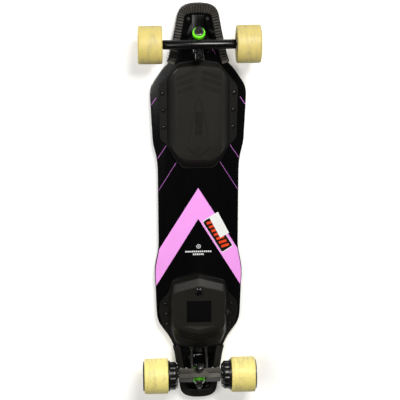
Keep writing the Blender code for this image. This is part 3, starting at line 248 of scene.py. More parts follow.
def worn_urethane(name, turn, colour, light, film_share):
    """Cream urethane with grey road film in streaks round the tread."""
    material = surface(name, colour, 0.5, spread=0.04, grain=260, bump=0.15, patch=9, second=light)
    tree = material.node_tree
    shader = tree.nodes["Principled BSDF"]
    base = shader.inputs["Base Color"].links[0].from_socket
    streaks = noise(tree, object_place(tree, (1, 1, 7), (turn, turn * 2, 0)), 16.0, 6.0, 0.65)
    spots = noise(tree, object_place(tree), 34.0, 8.0, 0.75)
    both = node(tree, "ShaderNodeMath", operation="MULTIPLY")
    tree.links.new(streaks, both.inputs[0])
    tree.links.new(spots, both.inputs[1])
    film = map_range(tree, both.outputs[0], (0.24, 0.42), (0.0, film_share))
    mix = node(tree, "ShaderNodeMix", data_type="RGBA")
    tree.links.new(film, mix.inputs["Factor"])
    tree.links.new(base, mix.inputs[6])
    mix.inputs[7].default_value = (*ROAD_FILM, 1.0)
    tree.links.new(mix.outputs[2], shader.inputs["Base Color"])
    shader.inputs["Subsurface Weight"].default_value = 0.08
    shader.inputs["Subsurface Radius"].default_value = (0.004, 0.003, 0.001)
    return material


LACQUER = surface("black_deck_lacquer", (0.0015, 0.0015, 0.0016), 0.14, spread=0.4, grain=700, bump=0.02,
                  rough_spread=0.05, coat=0.2, specular=0.3, stretch=(0.2, 1, 1),
                  second=(0.0028, 0.0028, 0.003))
PLY = ply_edge()
GRIP = surface("grip_tape", (0.016, 0.016, 0.017), 0.92, spread=0.7, grain=2600, bump=1.0, patch=1800,
               rough_spread=0.2, second=(0.055, 0.055, 0.058), depth=0.0008)
RUBBER = surface("bumper_rubber", (0.008, 0.007, 0.005), 0.55, spread=0.4, grain=1500, bump=0.5, patch=26,
                 rough_spread=0.2, specular=0.3, second=(0.017, 0.016, 0.013))
RIBBED = ribbed_rubber_painted_light()
CAST = surface("black_gloss_paint", (0.0025, 0.0025, 0.0025), 0.22, spread=0.3, grain=500, bump=0.06,
               rough_spread=0.06, specular=0.32)
CAN = surface("black_motor_can", (0.006, 0.006, 0.006), 0.26, metallic=0.3, spread=0.4, grain=900, bump=0.08,
              patch=60, specular=0.35, second=(0.016, 0.016, 0.015))
HANGER = surface("dark_anodised_aluminium", (0.038, 0.035, 0.026), 0.5, metallic=0.35, spread=0.25,
                 grain=1600, bump=0.15, patch=30, second=(0.056, 0.051, 0.04))
STEEL = surface("zinc_plated_steel", (0.5, 0.49, 0.46), 0.32, metallic=1.0, spread=0.25, grain=900, bump=0.1,
                patch=60)
DARK_STEEL = surface("black_oxide_steel", (0.028, 0.027, 0.027), 0.34, metallic=0.85, spread=0.4, grain=900,
                     bump=0.12, patch=70, second=(0.075, 0.07, 0.066))
WASHER = surface("worn_steel", (0.16, 0.155, 0.15), 0.3, metallic=1.0, spread=0.4, grain=900, bump=0.12,
                 patch=300, second=(0.42, 0.41, 0.39))
GREEN = surface("lime_urethane", (0.16, 0.88, 0.012), 0.35, spread=0.1, grain=300, bump=0.08, patch=30)
CASE = surface("matt_black_plastic", (0.0095, 0.0092, 0.0066), 0.5, spread=0.22, grain=2400, bump=0.35,
               patch=9, rough_spread=0.1, specular=0.24, second=(0.0135, 0.0125, 0.0098))
# Painted shade: the case's colour darkens towards the deck, to 0.3 at the flange.
painted_light_and_shade_by_height(CASE, DECK_BOTTOM - 0.031, DECK_BOTTOM - 0.004, 1.0, 0.3)
PANEL = surface("gloss_black_panel", (0.0026, 0.0026, 0.003), 0.1, spread=0.3, grain=400, bump=0.01,
                rough_spread=0.04, coat=0.3, specular=0.35)
CORE = surface("core_plastic", (0.05, 0.05, 0.045), 0.5, grain=900, bump=0.2, patch=40)
CABLE = surface("cable_sheath", (0.004, 0.003, 0.002), 0.42, spread=0.4, grain=1800, bump=0.4, patch=120,
                second=(0.012, 0.008, 0.005))
CELLS = surface("cell_sleeve", (0.04, 0.16, 0.42), 0.35, grain=500, bump=0.1)
CIRCUIT = surface("circuit_board", (0.015, 0.12, 0.05), 0.45, grain=1500, bump=0.4, patch=160)
WINDING = surface("stator_winding", (0.42, 0.19, 0.09), 0.4, metallic=0.8, grain=1200, bump=0.6, patch=200)
PINK = surface("pink_print", (0.975, 0.385, 0.955), 0.3, spread=0.03, grain=500, bump=0.02, patch=20,
               rough_spread=0.06)
STRIPE = surface("violet_print", (0.402, 0.127, 0.456), 0.3, spread=0.06, grain=500, bump=0.02, patch=30)
PAPER = surface("white_paper", (0.86, 0.87, 0.86), 0.6, spread=0.03, grain=1500, bump=0.15, patch=40)
LABEL = surface("black_label", (0.008, 0.007, 0.007), 0.28, spread=0.3, grain=900, bump=0.05, patch=50)
RED = surface("red_print", (0.82, 0.06, 0.012), 0.35, spread=0.12, grain=600, bump=0.05, patch=60)
CREAM_FRONT_LEFT = worn_urethane("cream_urethane_a", 0.3, (0.58, 0.465, 0.13), (0.65, 0.54, 0.185), 0.8)
CREAM_FRONT_RIGHT = worn_urethane("cream_urethane_b", 1.7, (0.61, 0.495, 0.14), (0.69, 0.57, 0.2), 0.8)
# Painted light: the rear cream is a lighter copy of the front ones, to make up for the weaker light that
# falls on the rear wheels.
CREAM_REAR_PAINTED_LIGHTER = worn_urethane("cream_urethane_c_painted_lighter", 4.1, (0.94, 0.79, 0.235), (0.98, 0.87, 0.32), 0.55)

# ---------------------------------------------------------------- mesh helpers

FILLET_STOPS = (0.0, 0.35, 0.65, 1.0)
SHARP_ANGLE = 35.0                # degrees between faces


def linked(name, data):
    """A new object in the scene."""
    made = bpy.data.objects.new(name, data)
    bpy.context.scene.collection.objects.link(made)
    return made


def object_from(name, builder, material, place=Matrix.Identity(4), smooth=SHARP_ANGLE):
    """Makes an object of a bmesh with its faces out and its sharp edges kept."""
    bmesh.ops.recalc_face_normals(builder, faces=builder.faces)
    mesh = bpy.data.meshes.new(name)
    builder.to_mesh(mesh)
    builder.free()
    mesh.shade_smooth()
    mesh.set_sharp_from_angle(angle=math.radians(smooth))
    made = linked(name, mesh)
    made.matrix_world = place
    if material is not None:
        mesh.materials.append(material)
    return made


def add_loft(builder, rings, closed=False):
    """Skins rings of equally many points."""
    loops = [[builder.verts.new(point) for point in ring] for ring in rings]
    pairs = list(zip(loops, loops[1:]))
    if closed:
        pairs.append((loops[-1], loops[0]))
    for lower, upper in pairs:
        for index in range(len(lower)):
            after = (index + 1) % len(lower)
            builder.faces.new((lower[index], lower[after], upper[after], upper[index]))
    if not closed:
        builder.faces.new(loops[0][::-1])
        builder.faces.new(loops[-1])


def corner_arc(points, index, radius, share, stops):
    """Points of the arc that rounds one corner of a closed outline, at most a share of each side long."""
    here = Vector(points[index])
    before = Vector(points[index - 1]) - here
    after = Vector(points[(index + 1) % len(points)]) - here
    reach = min(radius, before.length * share, after.length * share)
    start = here + before.normalized() * reach
    end = here + after.normalized() * reach
    return [start * (1 - t) ** 2 + here * 2 * t * (1 - t) + end * t**2 for t in stops]


def soften(points, radius, steps=3):
    """Rounds the corners of a closed outline; every ring softened alike keeps the same count."""
    stops = [step / steps for step in range(steps + 1)]
    arcs = [corner_arc(points, index, radius, 0.45, stops) for index in range(len(points))]
    return [point for arc in arcs for point in arc]


def symmetric(half, low, high):
    """Profile with equal ends, given from its inner edge as (radius, distance from the end)."""
    return [(x, low + z) for x, z in half] + [(x, high - z) for x, z in reversed(half)]


def plain(outer, low, high, inner=0.0):
    """Profile of a plain cylinder or ring."""
    return (inner, low), (outer, low), (outer, high), (inner, high)


def add_turned(builder, profile, segments, place=Matrix.Identity(4), fillet=0.0, radial=None):
    """Turns a closed (radius, height) profile about Z; radial(angle, height) may scale the radius."""
    if fillet:
        arcs = [[Vector(corner)] if corner[0] == 0 else corner_arc(profile, index, fillet, 0.4, FILLET_STOPS)
                for index, corner in enumerate(profile)]
        profile = [(point.x, point.y) for arc in arcs for point in arc]
    rings = []
    for radius, height in profile:
        if radius < 1e-7:
            rings.append([builder.verts.new(place @ Vector((0, 0, height)))])
            continue
        ring = []
        for index in range(segments):
            angle = math.tau * index / segments
            reach = radius * (radial(angle, height) if radial else 1.0)
            point = Vector((reach * math.cos(angle), reach * math.sin(angle), height))
            ring.append(builder.verts.new(place @ point))
        rings.append(ring)
    for lower, upper in zip(rings, rings[1:] + rings[:1]):
        if len(lower) == 1 and len(upper) == 1:
            continue
        for index in range(segments):
            after = (index + 1) % segments
            corners = [lower[index % len(lower)], lower[after % len(lower)], upper[after % len(upper)],
                       upper[index % len(upper)]]
            builder.faces.new(list(dict.fromkeys(corners)))


def turned(name, profile, segments, material, place, fillet=0.0004, radial=None):
    """A turned piece with softened edges."""
    builder = bmesh.new()
    add_turned(builder, profile, segments, fillet=fillet, radial=radial)
    return object_from(name, builder, material, place)


def add_prism(builder, outline, low, high, place=Matrix.Identity(4)):
    """Extrudes an (x, y) outline along Z."""
    add_loft(builder, [[place @ Vector((x, y, level)) for x, y in outline] for level in (low, high)])


def union(builder, place=Matrix.Identity(4)):
    """The step of bake() that adds a shape."""
    return "UNION", object_from("tool", builder, None, place)


def difference(builder, place=Matrix.Identity(4)):
    """The step of bake() that cuts a shape away."""
    return "DIFFERENCE", object_from("tool", builder, None, place)


def bake(piece, steps, bevel=0.0, segments=2):
    """Applies Boolean steps (operation, tool) and a bevel, and removes the tools."""
    for operation, tool in steps:
        modifier = piece.modifiers.new("shape", "BOOLEAN")
        modifier.operation = operation
        modifier.solver = "EXACT"
        modifier.object = tool
    if bevel:
        rounding = piece.modifiers.new("rounding", "BEVEL")
        rounding.width = bevel
        rounding.segments = segments
        rounding.limit_method = "ANGLE"
        rounding.angle_limit = math.radians(40)
    graph = bpy.context.evaluated_depsgraph_get()
    shaped = bpy.data.meshes.new_from_object(piece.evaluated_get(graph))
    piece.modifiers.clear()
    old = piece.data
    piece.data = shaped
    bpy.data.meshes.remove(old)
    shaped.shade_smooth()
    shaped.set_sharp_from_angle(angle=math.radians(SHARP_ANGLE))
    for _, tool in steps:
        mesh = tool.data
        bpy.data.objects.remove(tool)
        bpy.data.meshes.remove(mesh)
    return piece


def keep(piece, body, *nodes, slot=None):
    """Lets a finished piece ride on a body and stand for its CAD nodes."""
    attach(piece, body)
    if nodes:
        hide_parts(*nodes)
    return piece


def rectangle(x_low, x_high, half_width):
    """Outline of a rectangle about the X axis."""
    return [(x_low, -half_width), (x_high, -half_width), (x_high, half_width), (x_low, half_width)]


def rounded_rectangle(centre_x, half_length, half_width, radius, steps=8):
    """Outline of a rectangle with round corners."""
    outline = []
    for corner in range(4):
        sign_x = 1 if corner in (0, 3) else -1
        sign_y = 1 if corner in (0, 1) else -1
        for step in range(steps + 1):
            angle = math.radians(90 * (corner + step / steps))
            outline.append((centre_x + sign_x * (half_length - radius) + radius * math.cos(angle),
                            sign_y * (half_width - radius) + radius * math.sin(angle)))
    return outline


def circle(radius, count, centre=(0.0, 0.0)):
    """Points of a circle."""
    angles = [math.tau * index / count for index in range(count)]
    return [(centre[0] + radius * math.cos(angle), centre[1] + radius * math.sin(angle)) for angle in angles]


def bar(start, end, width):
    """Outline of a straight bar from start to end."""
    start, end = Vector(start), Vector(end)
    along = (end - start).normalized()
    side = Vector((-along.y, along.x)) * width / 2
    return [tuple(start + side), tuple(start - side), tuple(end - side), tuple(end + side)]


def mitred_sides(path, width):
    """Both sides of a line of the given width through several points, mitred at the bends."""
    path = [Vector(point) for point in path]
    sides = []
    for index, point in enumerate(path):
        normals = []
        for first, second in ((index - 1, index), (index, index + 1)):
            if first >= 0 and second < len(path):
                along = (path[second] - path[first]).normalized()
                normals.append(Vector((-along.y, along.x)))
        normal = (normals[0] + normals[-1]).normalized()
        sides.append((point, normal * (width / 2 / max(normal.dot(normals[0]), 0.3))))
    return sides


def stroke(path, width):
    """Outline of a line of the given width through several points."""
    sides = mitred_sides(path, width)
    outline = [tuple(point + side) for point, side in sides]
    return outline + [tuple(point - side) for point, side in reversed(sides)]


def mirrored(half):
    """Completes a half outline, given from centre to centre, on the other side."""
    return list(half) + [(point[0], -point[1], *point[2:]) for point in reversed(half[1:-1])]


def inset(outline, distance):
    """Moves an outline inwards by a distance."""
    count = len(outline)
    area = sum(outline[i][0] * outline[(i + 1) % count][1] - outline[(i + 1) % count][0] * outline[i][1]
               for i in range(count))
    turn = 1.0 if area > 0 else -1.0
    moved = []
    for index, point in enumerate(outline):
        here = Vector(point[:2])
        before = (here - Vector(outline[index - 1][:2])).normalized()
        after = (Vector(outline[(index + 1) % count][:2]) - here).normalized()
        normal = Vector((-(before.y + after.y), before.x + after.x)).normalized() * turn
        side = Vector((-before.y, before.x)) * turn
        reach = distance / max(normal.dot(side), 0.5)
        moved.append((here.x + normal.x * reach, here.y + normal.y * reach))
    return moved


def interpolate(table, x):
    """Monotone cubic through a table of (x, value)."""
    count = len(table)
    slopes = [(table[i + 1][1] - table[i][1]) / (table[i + 1][0] - table[i][0]) for i in range(count - 1)]
    tangents = [slopes[0]]
    for left, right in zip(slopes, slopes[1:]):
        tangents.append(0.0 if left * right <= 0 else 2 * left * right / (left + right))
    tangents.append(slopes[-1])
    index = max(i for i in range(count - 1) if i == 0 or table[i][0] <= x)
    width = table[index + 1][0] - table[index][0]
    t = (x - table[index][0]) / width
    return ((2 * t**3 - 3 * t**2 + 1) * table[index][1] + (t**3 - 2 * t**2 + t) * width * tangents[index]
            + (-2 * t**3 + 3 * t**2) * table[index + 1][1] + (t**3 - t**2) * width * tangents[index + 1])


def deck_half_width(x):
    """Half width of the deck at x, with the round nose and tail."""
    beyond = (abs(x) - TIP_START) / (DECK_TIP - TIP_START)
    side = interpolate(DECK_SIDES, x)
    return side if beyond <= 0 else side * max(1 - beyond**4, 0.0) ** 0.4


def tip_x(degrees):
    """Distance of the tip's edge from the middle, as it rounds from the straight part to the end."""
    return TIP_START + (DECK_TIP - TIP_START) * math.sin(math.radians(degrees))


def deck_stations():
    """X positions along the deck, closer together round the tips."""
    straight = int(2 * TIP_START / 0.003)
    found = [-TIP_START + 2 * TIP_START * i / straight for i in range(straight + 1)]
    for sign in (-1, 1):
        found += [sign * tip_x(degrees) for degrees in range(4, 90, 4)]
    return sorted(found)


def deck_outline():
    """Fine outline of the deck."""
    edge = [(x, deck_half_width(x)) for x in reversed(deck_stations())]
    return mirrored([(DECK_TIP, 0.0), *edge, (-DECK_TIP, 0.0)])


# ---------------------------------------------------------------- deck and its graphic


def slot_outline(pattern):
    """The cut-out that a truck drops through."""
    half = [(pattern + 0.043, 0.0), (pattern + 0.043, 0.015), (0.036, 0.015), (0.012, 0.027),
            (-0.004, 0.027), (-0.008, 0.013), (-0.0285, 0.013), (-0.0285, 0.0)]
    return mirrored(half)


def bolt_points(truck, pattern):
    """The four bolt positions of a truck."""
    return [truck @ Vector((pattern + sx * BOLT_X, sy * BOLT_Y, 0)) for sx in (-1, 1) for sy in (-1, 1)]


def build_deck():
    """Laminated deck with rounded edges, pockets, slots and holes."""
    outline = deck_outline()
    rounding = 0.0018
    angles = [math.radians(degrees) for degrees in (0, 30, 60, 90)]
    arc = [(rounding * (1 - math.sin(angle)), rounding * (1 - math.cos(angle))) for angle in angles]
    levels = [(inward, DECK_BOTTOM + rise) for inward, rise in arc]
    levels += [(inward, DECK_TOP - rise) for inward, rise in reversed(arc)]
    rings = [with_depth(inset(outline, inward), z) for inward, z in levels]
    builder = bmesh.new()
    add_loft(builder, rings)
    deck = object_from("deck_board", builder, LACQUER)
    deck.data.materials.append(PLY)
    pockets, slots = bmesh.new(), bmesh.new()
    below, pocket_top, above = 0.04, 0.054, 0.08
    for _, truck, pattern in TRUCKS:
        add_prism(pockets, rounded_rectangle(pattern, 0.047, 0.029, 0.018), below, pocket_top, truck)
        add_prism(slots, slot_outline(pattern), below, above, truck)
        for point in bolt_points(truck, pattern):
            add_prism(slots, circle(BOLT_HOLE, 20, point.xy), DECK_BOTTOM - 0.01, DECK_TOP + 0.01)
    bake(deck, [difference(pockets), difference(slots)])
    rim = kdtree.KDTree(len(outline))
    for index, (x, y) in enumerate(outline):
        rim.insert((x, y, 0.0), index)
    rim.balance()
    for face in deck.data.polygons:
        centre = face.center
        at_rim = rim.find((centre.x, centre.y, 0.0))[2] < 0.004
        between = DECK_BOTTOM + 0.0014 < centre.z < DECK_TOP - 0.0014
        face.material_index = 1 if between and at_rim and abs(face.normal.z) < 0.3 else 0
    keep(deck, "root", "deck", slot="deck")


def thin_print(name, outlines, material, layer):
    """A print on the deck's underside, clipped to the flat part of the deck."""
    low = DECK_BOTTOM - 0.00006 * layer
    shapes = bmesh.new()
    for outline in outlines:
        add_prism(shapes, outline, low, low + 0.00005)
    piece = object_from(name, shapes, material)
    clip = bmesh.new()
    add_prism(clip, inset(deck_outline(), 0.0019), low - 0.001, low + 0.001)
    bake(piece, [("INTERSECT", object_from("clip", clip, None))])
    return keep(piece, "root")


def build_graphic():
    """Pink chevron, thin stripes, a plain ring and two labels without any lettering."""
    reach = 0.108
    outer_tip, outer_slope = 0.0524, 1.62
    inner_tip, inner_slope = -0.0218, 1.658
    outer_end, inner_end = outer_tip - outer_slope * reach, inner_tip - inner_slope * reach
    chevron = [(outer_tip, 0.0), (outer_end, -reach), (inner_end, -reach), (inner_tip, 0.0),
               (inner_end, reach), (outer_end, reach)]
    thin_print("deck_chevron", [chevron], PINK, 1)
    stripes = []
    for side in (-1, 1):
        for start, end, width in (
            ((0.265, 0.094), (0.2445, 0.1075), 0.0014), ((0.1545, 0.0718), (0.118, 0.096), 0.0012),
            ((0.114, 0.0498), (0.043, 0.0935), 0.0011),
        ):
            stripes.append(bar((start[0], side * start[1]), (end[0], side * end[1]), width))
    stripes.append(bar((0.374, 0.031), (0.362, 0.039), 0.0011))
    stripes.append(bar((-0.339, -0.051), (-0.348, -0.056), 0.0011))
    thin_print("deck_stripes", stripes, STRIPE, 1)

    ring = bmesh.new()
    place = Matrix.Translation((-0.0895, 0.0005, DECK_BOTTOM - 0.00012))
    add_turned(ring, plain(0.005, 0.0, 0.0001, 0.0037), 40, place)
    add_turned(ring, plain(0.0016, 0.0, 0.0001), 24, place)
    keep(object_from("deck_ring_mark", ring, PAPER), "root")
    rules = []
    for x, half, gaps in ((-0.102, 0.0309, 13), (-0.1088, 0.0132, 6)):
        pitch = 2 * half / gaps
        for index in range(gaps):
            start = -half + index * pitch
            rules.append(bar((x, start + pitch * 0.14), (x, start + pitch * 0.86), 0.0036))
    thin_print("deck_rule_marks", rules, PAPER, 2)

    def sheet(name, corners, material, layer, radius):
        outline = [tuple(p) for p in soften(corners, radius, 4)]
        builder = bmesh.new()
        low = DECK_BOTTOM - 0.0001 * layer
        add_prism(builder, outline, low - 0.00009, low)
        return keep(object_from(name, builder, material), "root")

    a, d, c = Vector((-0.0285, 0.009)), Vector((-0.1064, 0.0556)), Vector((-0.0896, 0.0809))
    b = a + (c - d)
    sheet("label_border", [a, b, c, d], PAPER, 2, 0.004)
    middle = (a + b + c + d) / 4
    inner = [middle + (corner - middle) * 0.965 for corner in (a, b, c, d)]
    long_side, short_side = (d - a), (b - a)
    face = [corner + (middle - corner).normalized() * 0.0004 for corner in inner]
    sheet("label_face", face, LABEL, 3, 0.004)
    slashes = bmesh.new()
    low = DECK_BOTTOM - 0.00049
    pitch, lean = 0.122, 0.055        # shares of the label's length
    for index in range(7):
        share = 0.11 + index * pitch
        foot = a + long_side * share + short_side * 0.2
        head = a + long_side * (share + lean) + short_side * 0.8
        add_prism(slashes, [tuple(p) for p in soften(bar(foot, head, 0.0062), 0.001, 2)], low - 0.00006, low)
    keep(object_from("label_slashes", slashes, RED), "root")
    white = [Vector(corner) for corner in ((-0.0185, 0.0249), (-0.0053, 0.045), (-0.0573, 0.0714),
                                           (-0.069, 0.051))]
    sheet("blank_paper_label", white, PAPER, 6, 0.0006)


# ---------------------------------------------------------------- bumpers


def guard_path(end, start, step):
    """Evenly spaced points of the deck's edge round a tip, with normals and arc lengths."""
    sign = 1 if end > 0 else -1
    stations = []
    x = abs(start)
    while x < TIP_START:
        stations.append(x)
        x += 0.002
    stations += [tip_x(degrees) for degrees in range(0, 90, 2)]
    rough = [Vector((sign * x, deck_half_width(sign * x))) for x in stations] + [Vector((end, 0.0))]
    rough += [Vector((p.x, -p.y)) for p in reversed(rough[:-1])]
    lengths = [0.0]
    for before, after in zip(rough, rough[1:]):
        lengths.append(lengths[-1] + (after - before).length)
    count = int(lengths[-1] / step)
    points = []
    index = 0
    for number in range(count + 1):
        target = lengths[-1] * number / count
        while index < len(rough) - 2 and lengths[index + 1] < target:
            index += 1
        share = (target - lengths[index]) / max(lengths[index + 1] - lengths[index], 1e-9)
        points.append((rough[index].lerp(rough[index + 1], share), target))
    found = []
    for index, (point, target) in enumerate(points):
        before = points[max(index - 3, 0)][0]
        after = points[min(index + 3, len(points) - 1)][0]
        along = (after - before).normalized()
        normal = Vector((-along.y, along.x))
        if normal.dot(point - Vector((start, 0.0))) < 0:
            normal = -normal
        found.append((point, normal, target, lengths[-1]))
    return found


def build_bumper(name, node_name, end, start, ribbed):
    """Rubber guard round the nose or tail; the nose one has ribs across its underside."""
    rings = []
    pitch = 0.0064
    for point, normal, at, total in guard_path(end, start, 0.00066):
        lip = 0.013 + 0.0035 * normal.x**2
        wave = 0.5 + 0.5 * math.cos(math.tau * at / pitch)
        ends = min(at, total - at)
        depth = 0.0019 * (wave ** 0.45) if ribbed and ends > 0.006 else 0.0
        face = CREST + depth
        side = 0.0035 - depth * 0.45
        section = [
            (-lip, DECK_BOTTOM - 0.0018 + depth * 0.5), (-lip + 0.0006, face + 0.0004), (-lip + 0.0014, face),
            (-lip + 0.003, face), (-0.006, face), (-0.0004, face), (0.0012, face + 0.0002),
            (side - 0.0008, face + 0.001), (side - 0.0001, DECK_BOTTOM - 0.0002),
            (side, DECK_BOTTOM + 0.004), (0.0035, DECK_TOP - 0.001), (0.0034, DECK_TOP + 0.0006),
            (0.0026, DECK_TOP + 0.0018), (0.0014, DECK_TOP + 0.0025), (-0.011, DECK_TOP + 0.0025),
            (-0.012, DECK_TOP + 0.0018),
            (-0.012, DECK_TOP + 0.0004), (0.0004, DECK_TOP + 0.0004), (0.0004, DECK_BOTTOM - 0.0004),
            (-lip, DECK_BOTTOM - 0.0004),
        ]
        rings.append([(*(point + normal * out), level) for out, level in section])
    builder = bmesh.new()
    add_loft(builder, rings)
    keep(object_from(name, builder, RIBBED if ribbed else RUBBER, smooth=50), "root", node_name)


# ---------------------------------------------------------------- enclosures

BATTERY_FLANGE = ((0.35, 0.0), (0.344, 0.046), (0.291, 0.0885), (0.1715, 0.0865),
                  (0.155, 0.0705), (0.12, 0.051), (0.101, 0.036), (0.101, 0.0))
BATTERY_SHOULDER = ((0.349, 0.0), (0.342, 0.0445), (0.309, 0.07), (0.16, 0.07),
                    (0.15, 0.064), (0.122, 0.048), (0.104, 0.033), (0.104, 0.0))
BATTERY_PLATEAU = ((0.344, 0.0), (0.338, 0.044), (0.331, 0.052), (0.148, 0.052),
                   (0.142, 0.05), (0.134, 0.042), (0.127, 0.027), (0.127, 0.0))
ESC_FLANGE = ((-0.157, 0.0), (-0.173, 0.062), (-0.2, 0.069), (-0.226, 0.091), (-0.25, 0.0925),
              (-0.276, 0.087), (-0.301, 0.0745), (-0.322, 0.063), (-0.337, 0.054), (-0.344, 0.02),
              (-0.345, 0.0))
ESC_SHOULDER = ((-0.1575, 0.0), (-0.1735, 0.0605), (-0.197, 0.066), (-0.215, 0.069),
                (-0.25, 0.069), (-0.276, 0.069), (-0.298, 0.068), (-0.32, 0.06),
                (-0.335, 0.052), (-0.342, 0.02), (-0.343, 0.0))
ESC_WAIST = ((-0.161, 0.0, 0.021), (-0.177, 0.06, 0.021), (-0.198, 0.062, 0.021), (-0.215, 0.063, 0.021),
             (-0.25, 0.063, 0.021), (-0.276, 0.063, 0.021), (-0.296, 0.061, 0.019), (-0.316, 0.054, 0.015),
             (-0.329, 0.046, 0.012), (-0.337, 0.019, 0.011), (-0.338, 0.0, 0.011))
ESC_PLATEAU = ((-0.177, 0.0), (-0.192, 0.059), (-0.2, 0.06), (-0.215, 0.06), (-0.25, 0.06), (-0.276, 0.06),
               (-0.281, 0.057), (-0.283, 0.045), (-0.287, 0.03), (-0.293, 0.013), (-0.296, 0.0))


def with_depth(outline, depth):
    """Gives a flat outline its depth."""
    return [(point[0], point[1], depth) for point in outline]


def blend_rings(lower, upper, share, lift=0.0):
    """A ring between two others; lift moves it further from the deck than the straight wall."""
    return [tuple(a + (b - a) * share + (lift if axis == 2 else 0.0) for axis, (a, b) in enumerate(zip(p, q)))
            for p, q in zip(lower, upper)]


def shrink(ring, distance, depth_change):
    """A ring moved inwards on the plateau."""
    flat = inset([(p[0], p[1]) for p in ring], distance)
    return [(x, y, p[2] + depth_change) for (x, y), p in zip(flat, ring)]


def build_shell(name, node_name, flange, levels, soft, tools):
    """One enclosure: flange with a rounded rim, walls, rounded plateau edge, and its cut details."""
    full = [mirrored(level) for level in levels]
    rings = [with_depth(mirrored(flange), 0.0003), with_depth(mirrored(flange), 0.0044),
             shrink(with_depth(mirrored(flange), 0.0044), 0.0004, 0.0004)]
    base = full[0]
    rings.append(base)
    rings.append(blend_rings(base, full[1], 0.06))
    for lower, upper in zip(full, full[1:-1]):
        rings.append(blend_rings(lower, upper, 0.5))
        rings.append(upper)
    below, top = full[-2], full[-1]
    rings.append(blend_rings(below, top, 0.72))
    rings.append(blend_rings(below, top, 0.9, 0.0002))
    rings.append(shrink(blend_rings(below, top, 0.99, 0.0), 0.0008, 0.0))
    rings.append(shrink(top, 0.003, 0.0))
    softened = []
    for ring in rings:
        softened.append([(p.x, p.y, DECK_BOTTOM - p.z) for p in soften(ring, soft, 3)])
    builder = bmesh.new()
    add_loft(builder, softened)
    piece = object_from(name, builder, CASE, smooth=28)
    hollow = bmesh.new()
    inside = [shrink(full[0], 0.003, -0.008)] + [shrink(level, 0.003, -0.0024) for level in full]
    add_loft(hollow, [[(x, y, DECK_BOTTOM - depth) for x, y, depth in ring] for ring in inside])
    bake(piece, [difference(hollow)] + tools)
    piece.data.set_sharp_from_angle(angle=math.radians(28))
    keep(piece, "root", node_name, slot="case_plastic")


def cut(outlines, depth):
    """The step that cuts outlines into an enclosure's plateau."""
    builder = bmesh.new()
    for outline in outlines:
        add_prism(builder, outline, PLATEAU - 0.01, PLATEAU + depth)
    return difference(builder)


def ridge(builder, path, width, level, height):
    """A low roof-shaped rib standing on a level."""
    section = ((1, 0.0008), (0.35, -height), (-0.35, -height), (-1, 0.0008))
    rings = [[(*(point + side * share), level + rise) for share, rise in section]
             for point, side in mitred_sides(path, width)]
    add_loft(builder, rings)


def build_battery_box():
    """The battery enclosure with its pairs of grooves, spine ribs, diamond recess and tail ridge."""
    lines = []
    for side in (-1, 1):
        for front_x, front_y, back_x, back_y in (
            (0.331, 0.0075, 0.3165, 0.049), (0.3262, 0.0075, 0.3117, 0.049),
            (0.316, 0.0075, 0.3025, 0.049), (0.3112, 0.0075, 0.2977, 0.049),
            (0.299, 0.0075, 0.285, 0.049), (0.2942, 0.0075, 0.2802, 0.049),
        ):
            lines.append(bar((front_x, side * front_y), (back_x, side * back_y), 0.0023))
        flank = ((0.27, side * 0.0016), (0.238, side * 0.0105), (0.174, side * 0.0215))
        lines.append(stroke(flank, 0.0014))
    diamond = [(0.159, 0.0), (0.151, -0.0075), (0.143, 0.0), (0.151, 0.0075)]
    inner = [(0.155, 0.0), (0.151, -0.0038), (0.147, 0.0), (0.151, 0.0038)]
    raised = bmesh.new()
    ridge(raised, ((0.1555, -0.025), (0.132, 0.0), (0.1555, 0.025)), 0.0034, PLATEAU, 0.0019)
    ridge(raised, ((0.15, -0.011), (0.1392, 0.0), (0.15, 0.011)), 0.0018, PLATEAU, 0.0008)
    for index in range(13):
        x = 0.237 - index * 0.0041
        ridge(raised, ((x, -0.0074), (x, 0.0074)), 0.0024, PLATEAU + RECESS_DEPTH, 0.0021)
    levels = (with_depth(BATTERY_SHOULDER, SHOULDER_DEPTH), with_depth(BATTERY_PLATEAU, PLATEAU_DEPTH))
    steps = [cut(lines, GROOVE_DEPTH), cut([rectangle(0.1856, 0.2392, 0.008)], RECESS_DEPTH),
             cut([diamond], RECESS_DEPTH), cut([inner], GROOVE_DEPTH), union(raised)]
    build_shell("battery_box", "battery_enclosure", BATTERY_FLANGE, levels, 0.0075, steps)


def tail_wall(x, y):
    """Height of the electronics enclosure's sloping tail wall."""
    high = interpolate(((0.0, -0.296), (0.013, -0.293), (0.03, -0.287), (0.045, -0.283),
                        (0.057, -0.281)), abs(y))
    low = interpolate(((0.0, -0.338), (0.019, -0.337), (0.046, -0.329), (0.054, -0.316)), abs(y))
    return PLATEAU + (high - x) / (high - low) * (PLATEAU_DEPTH - 0.0112)


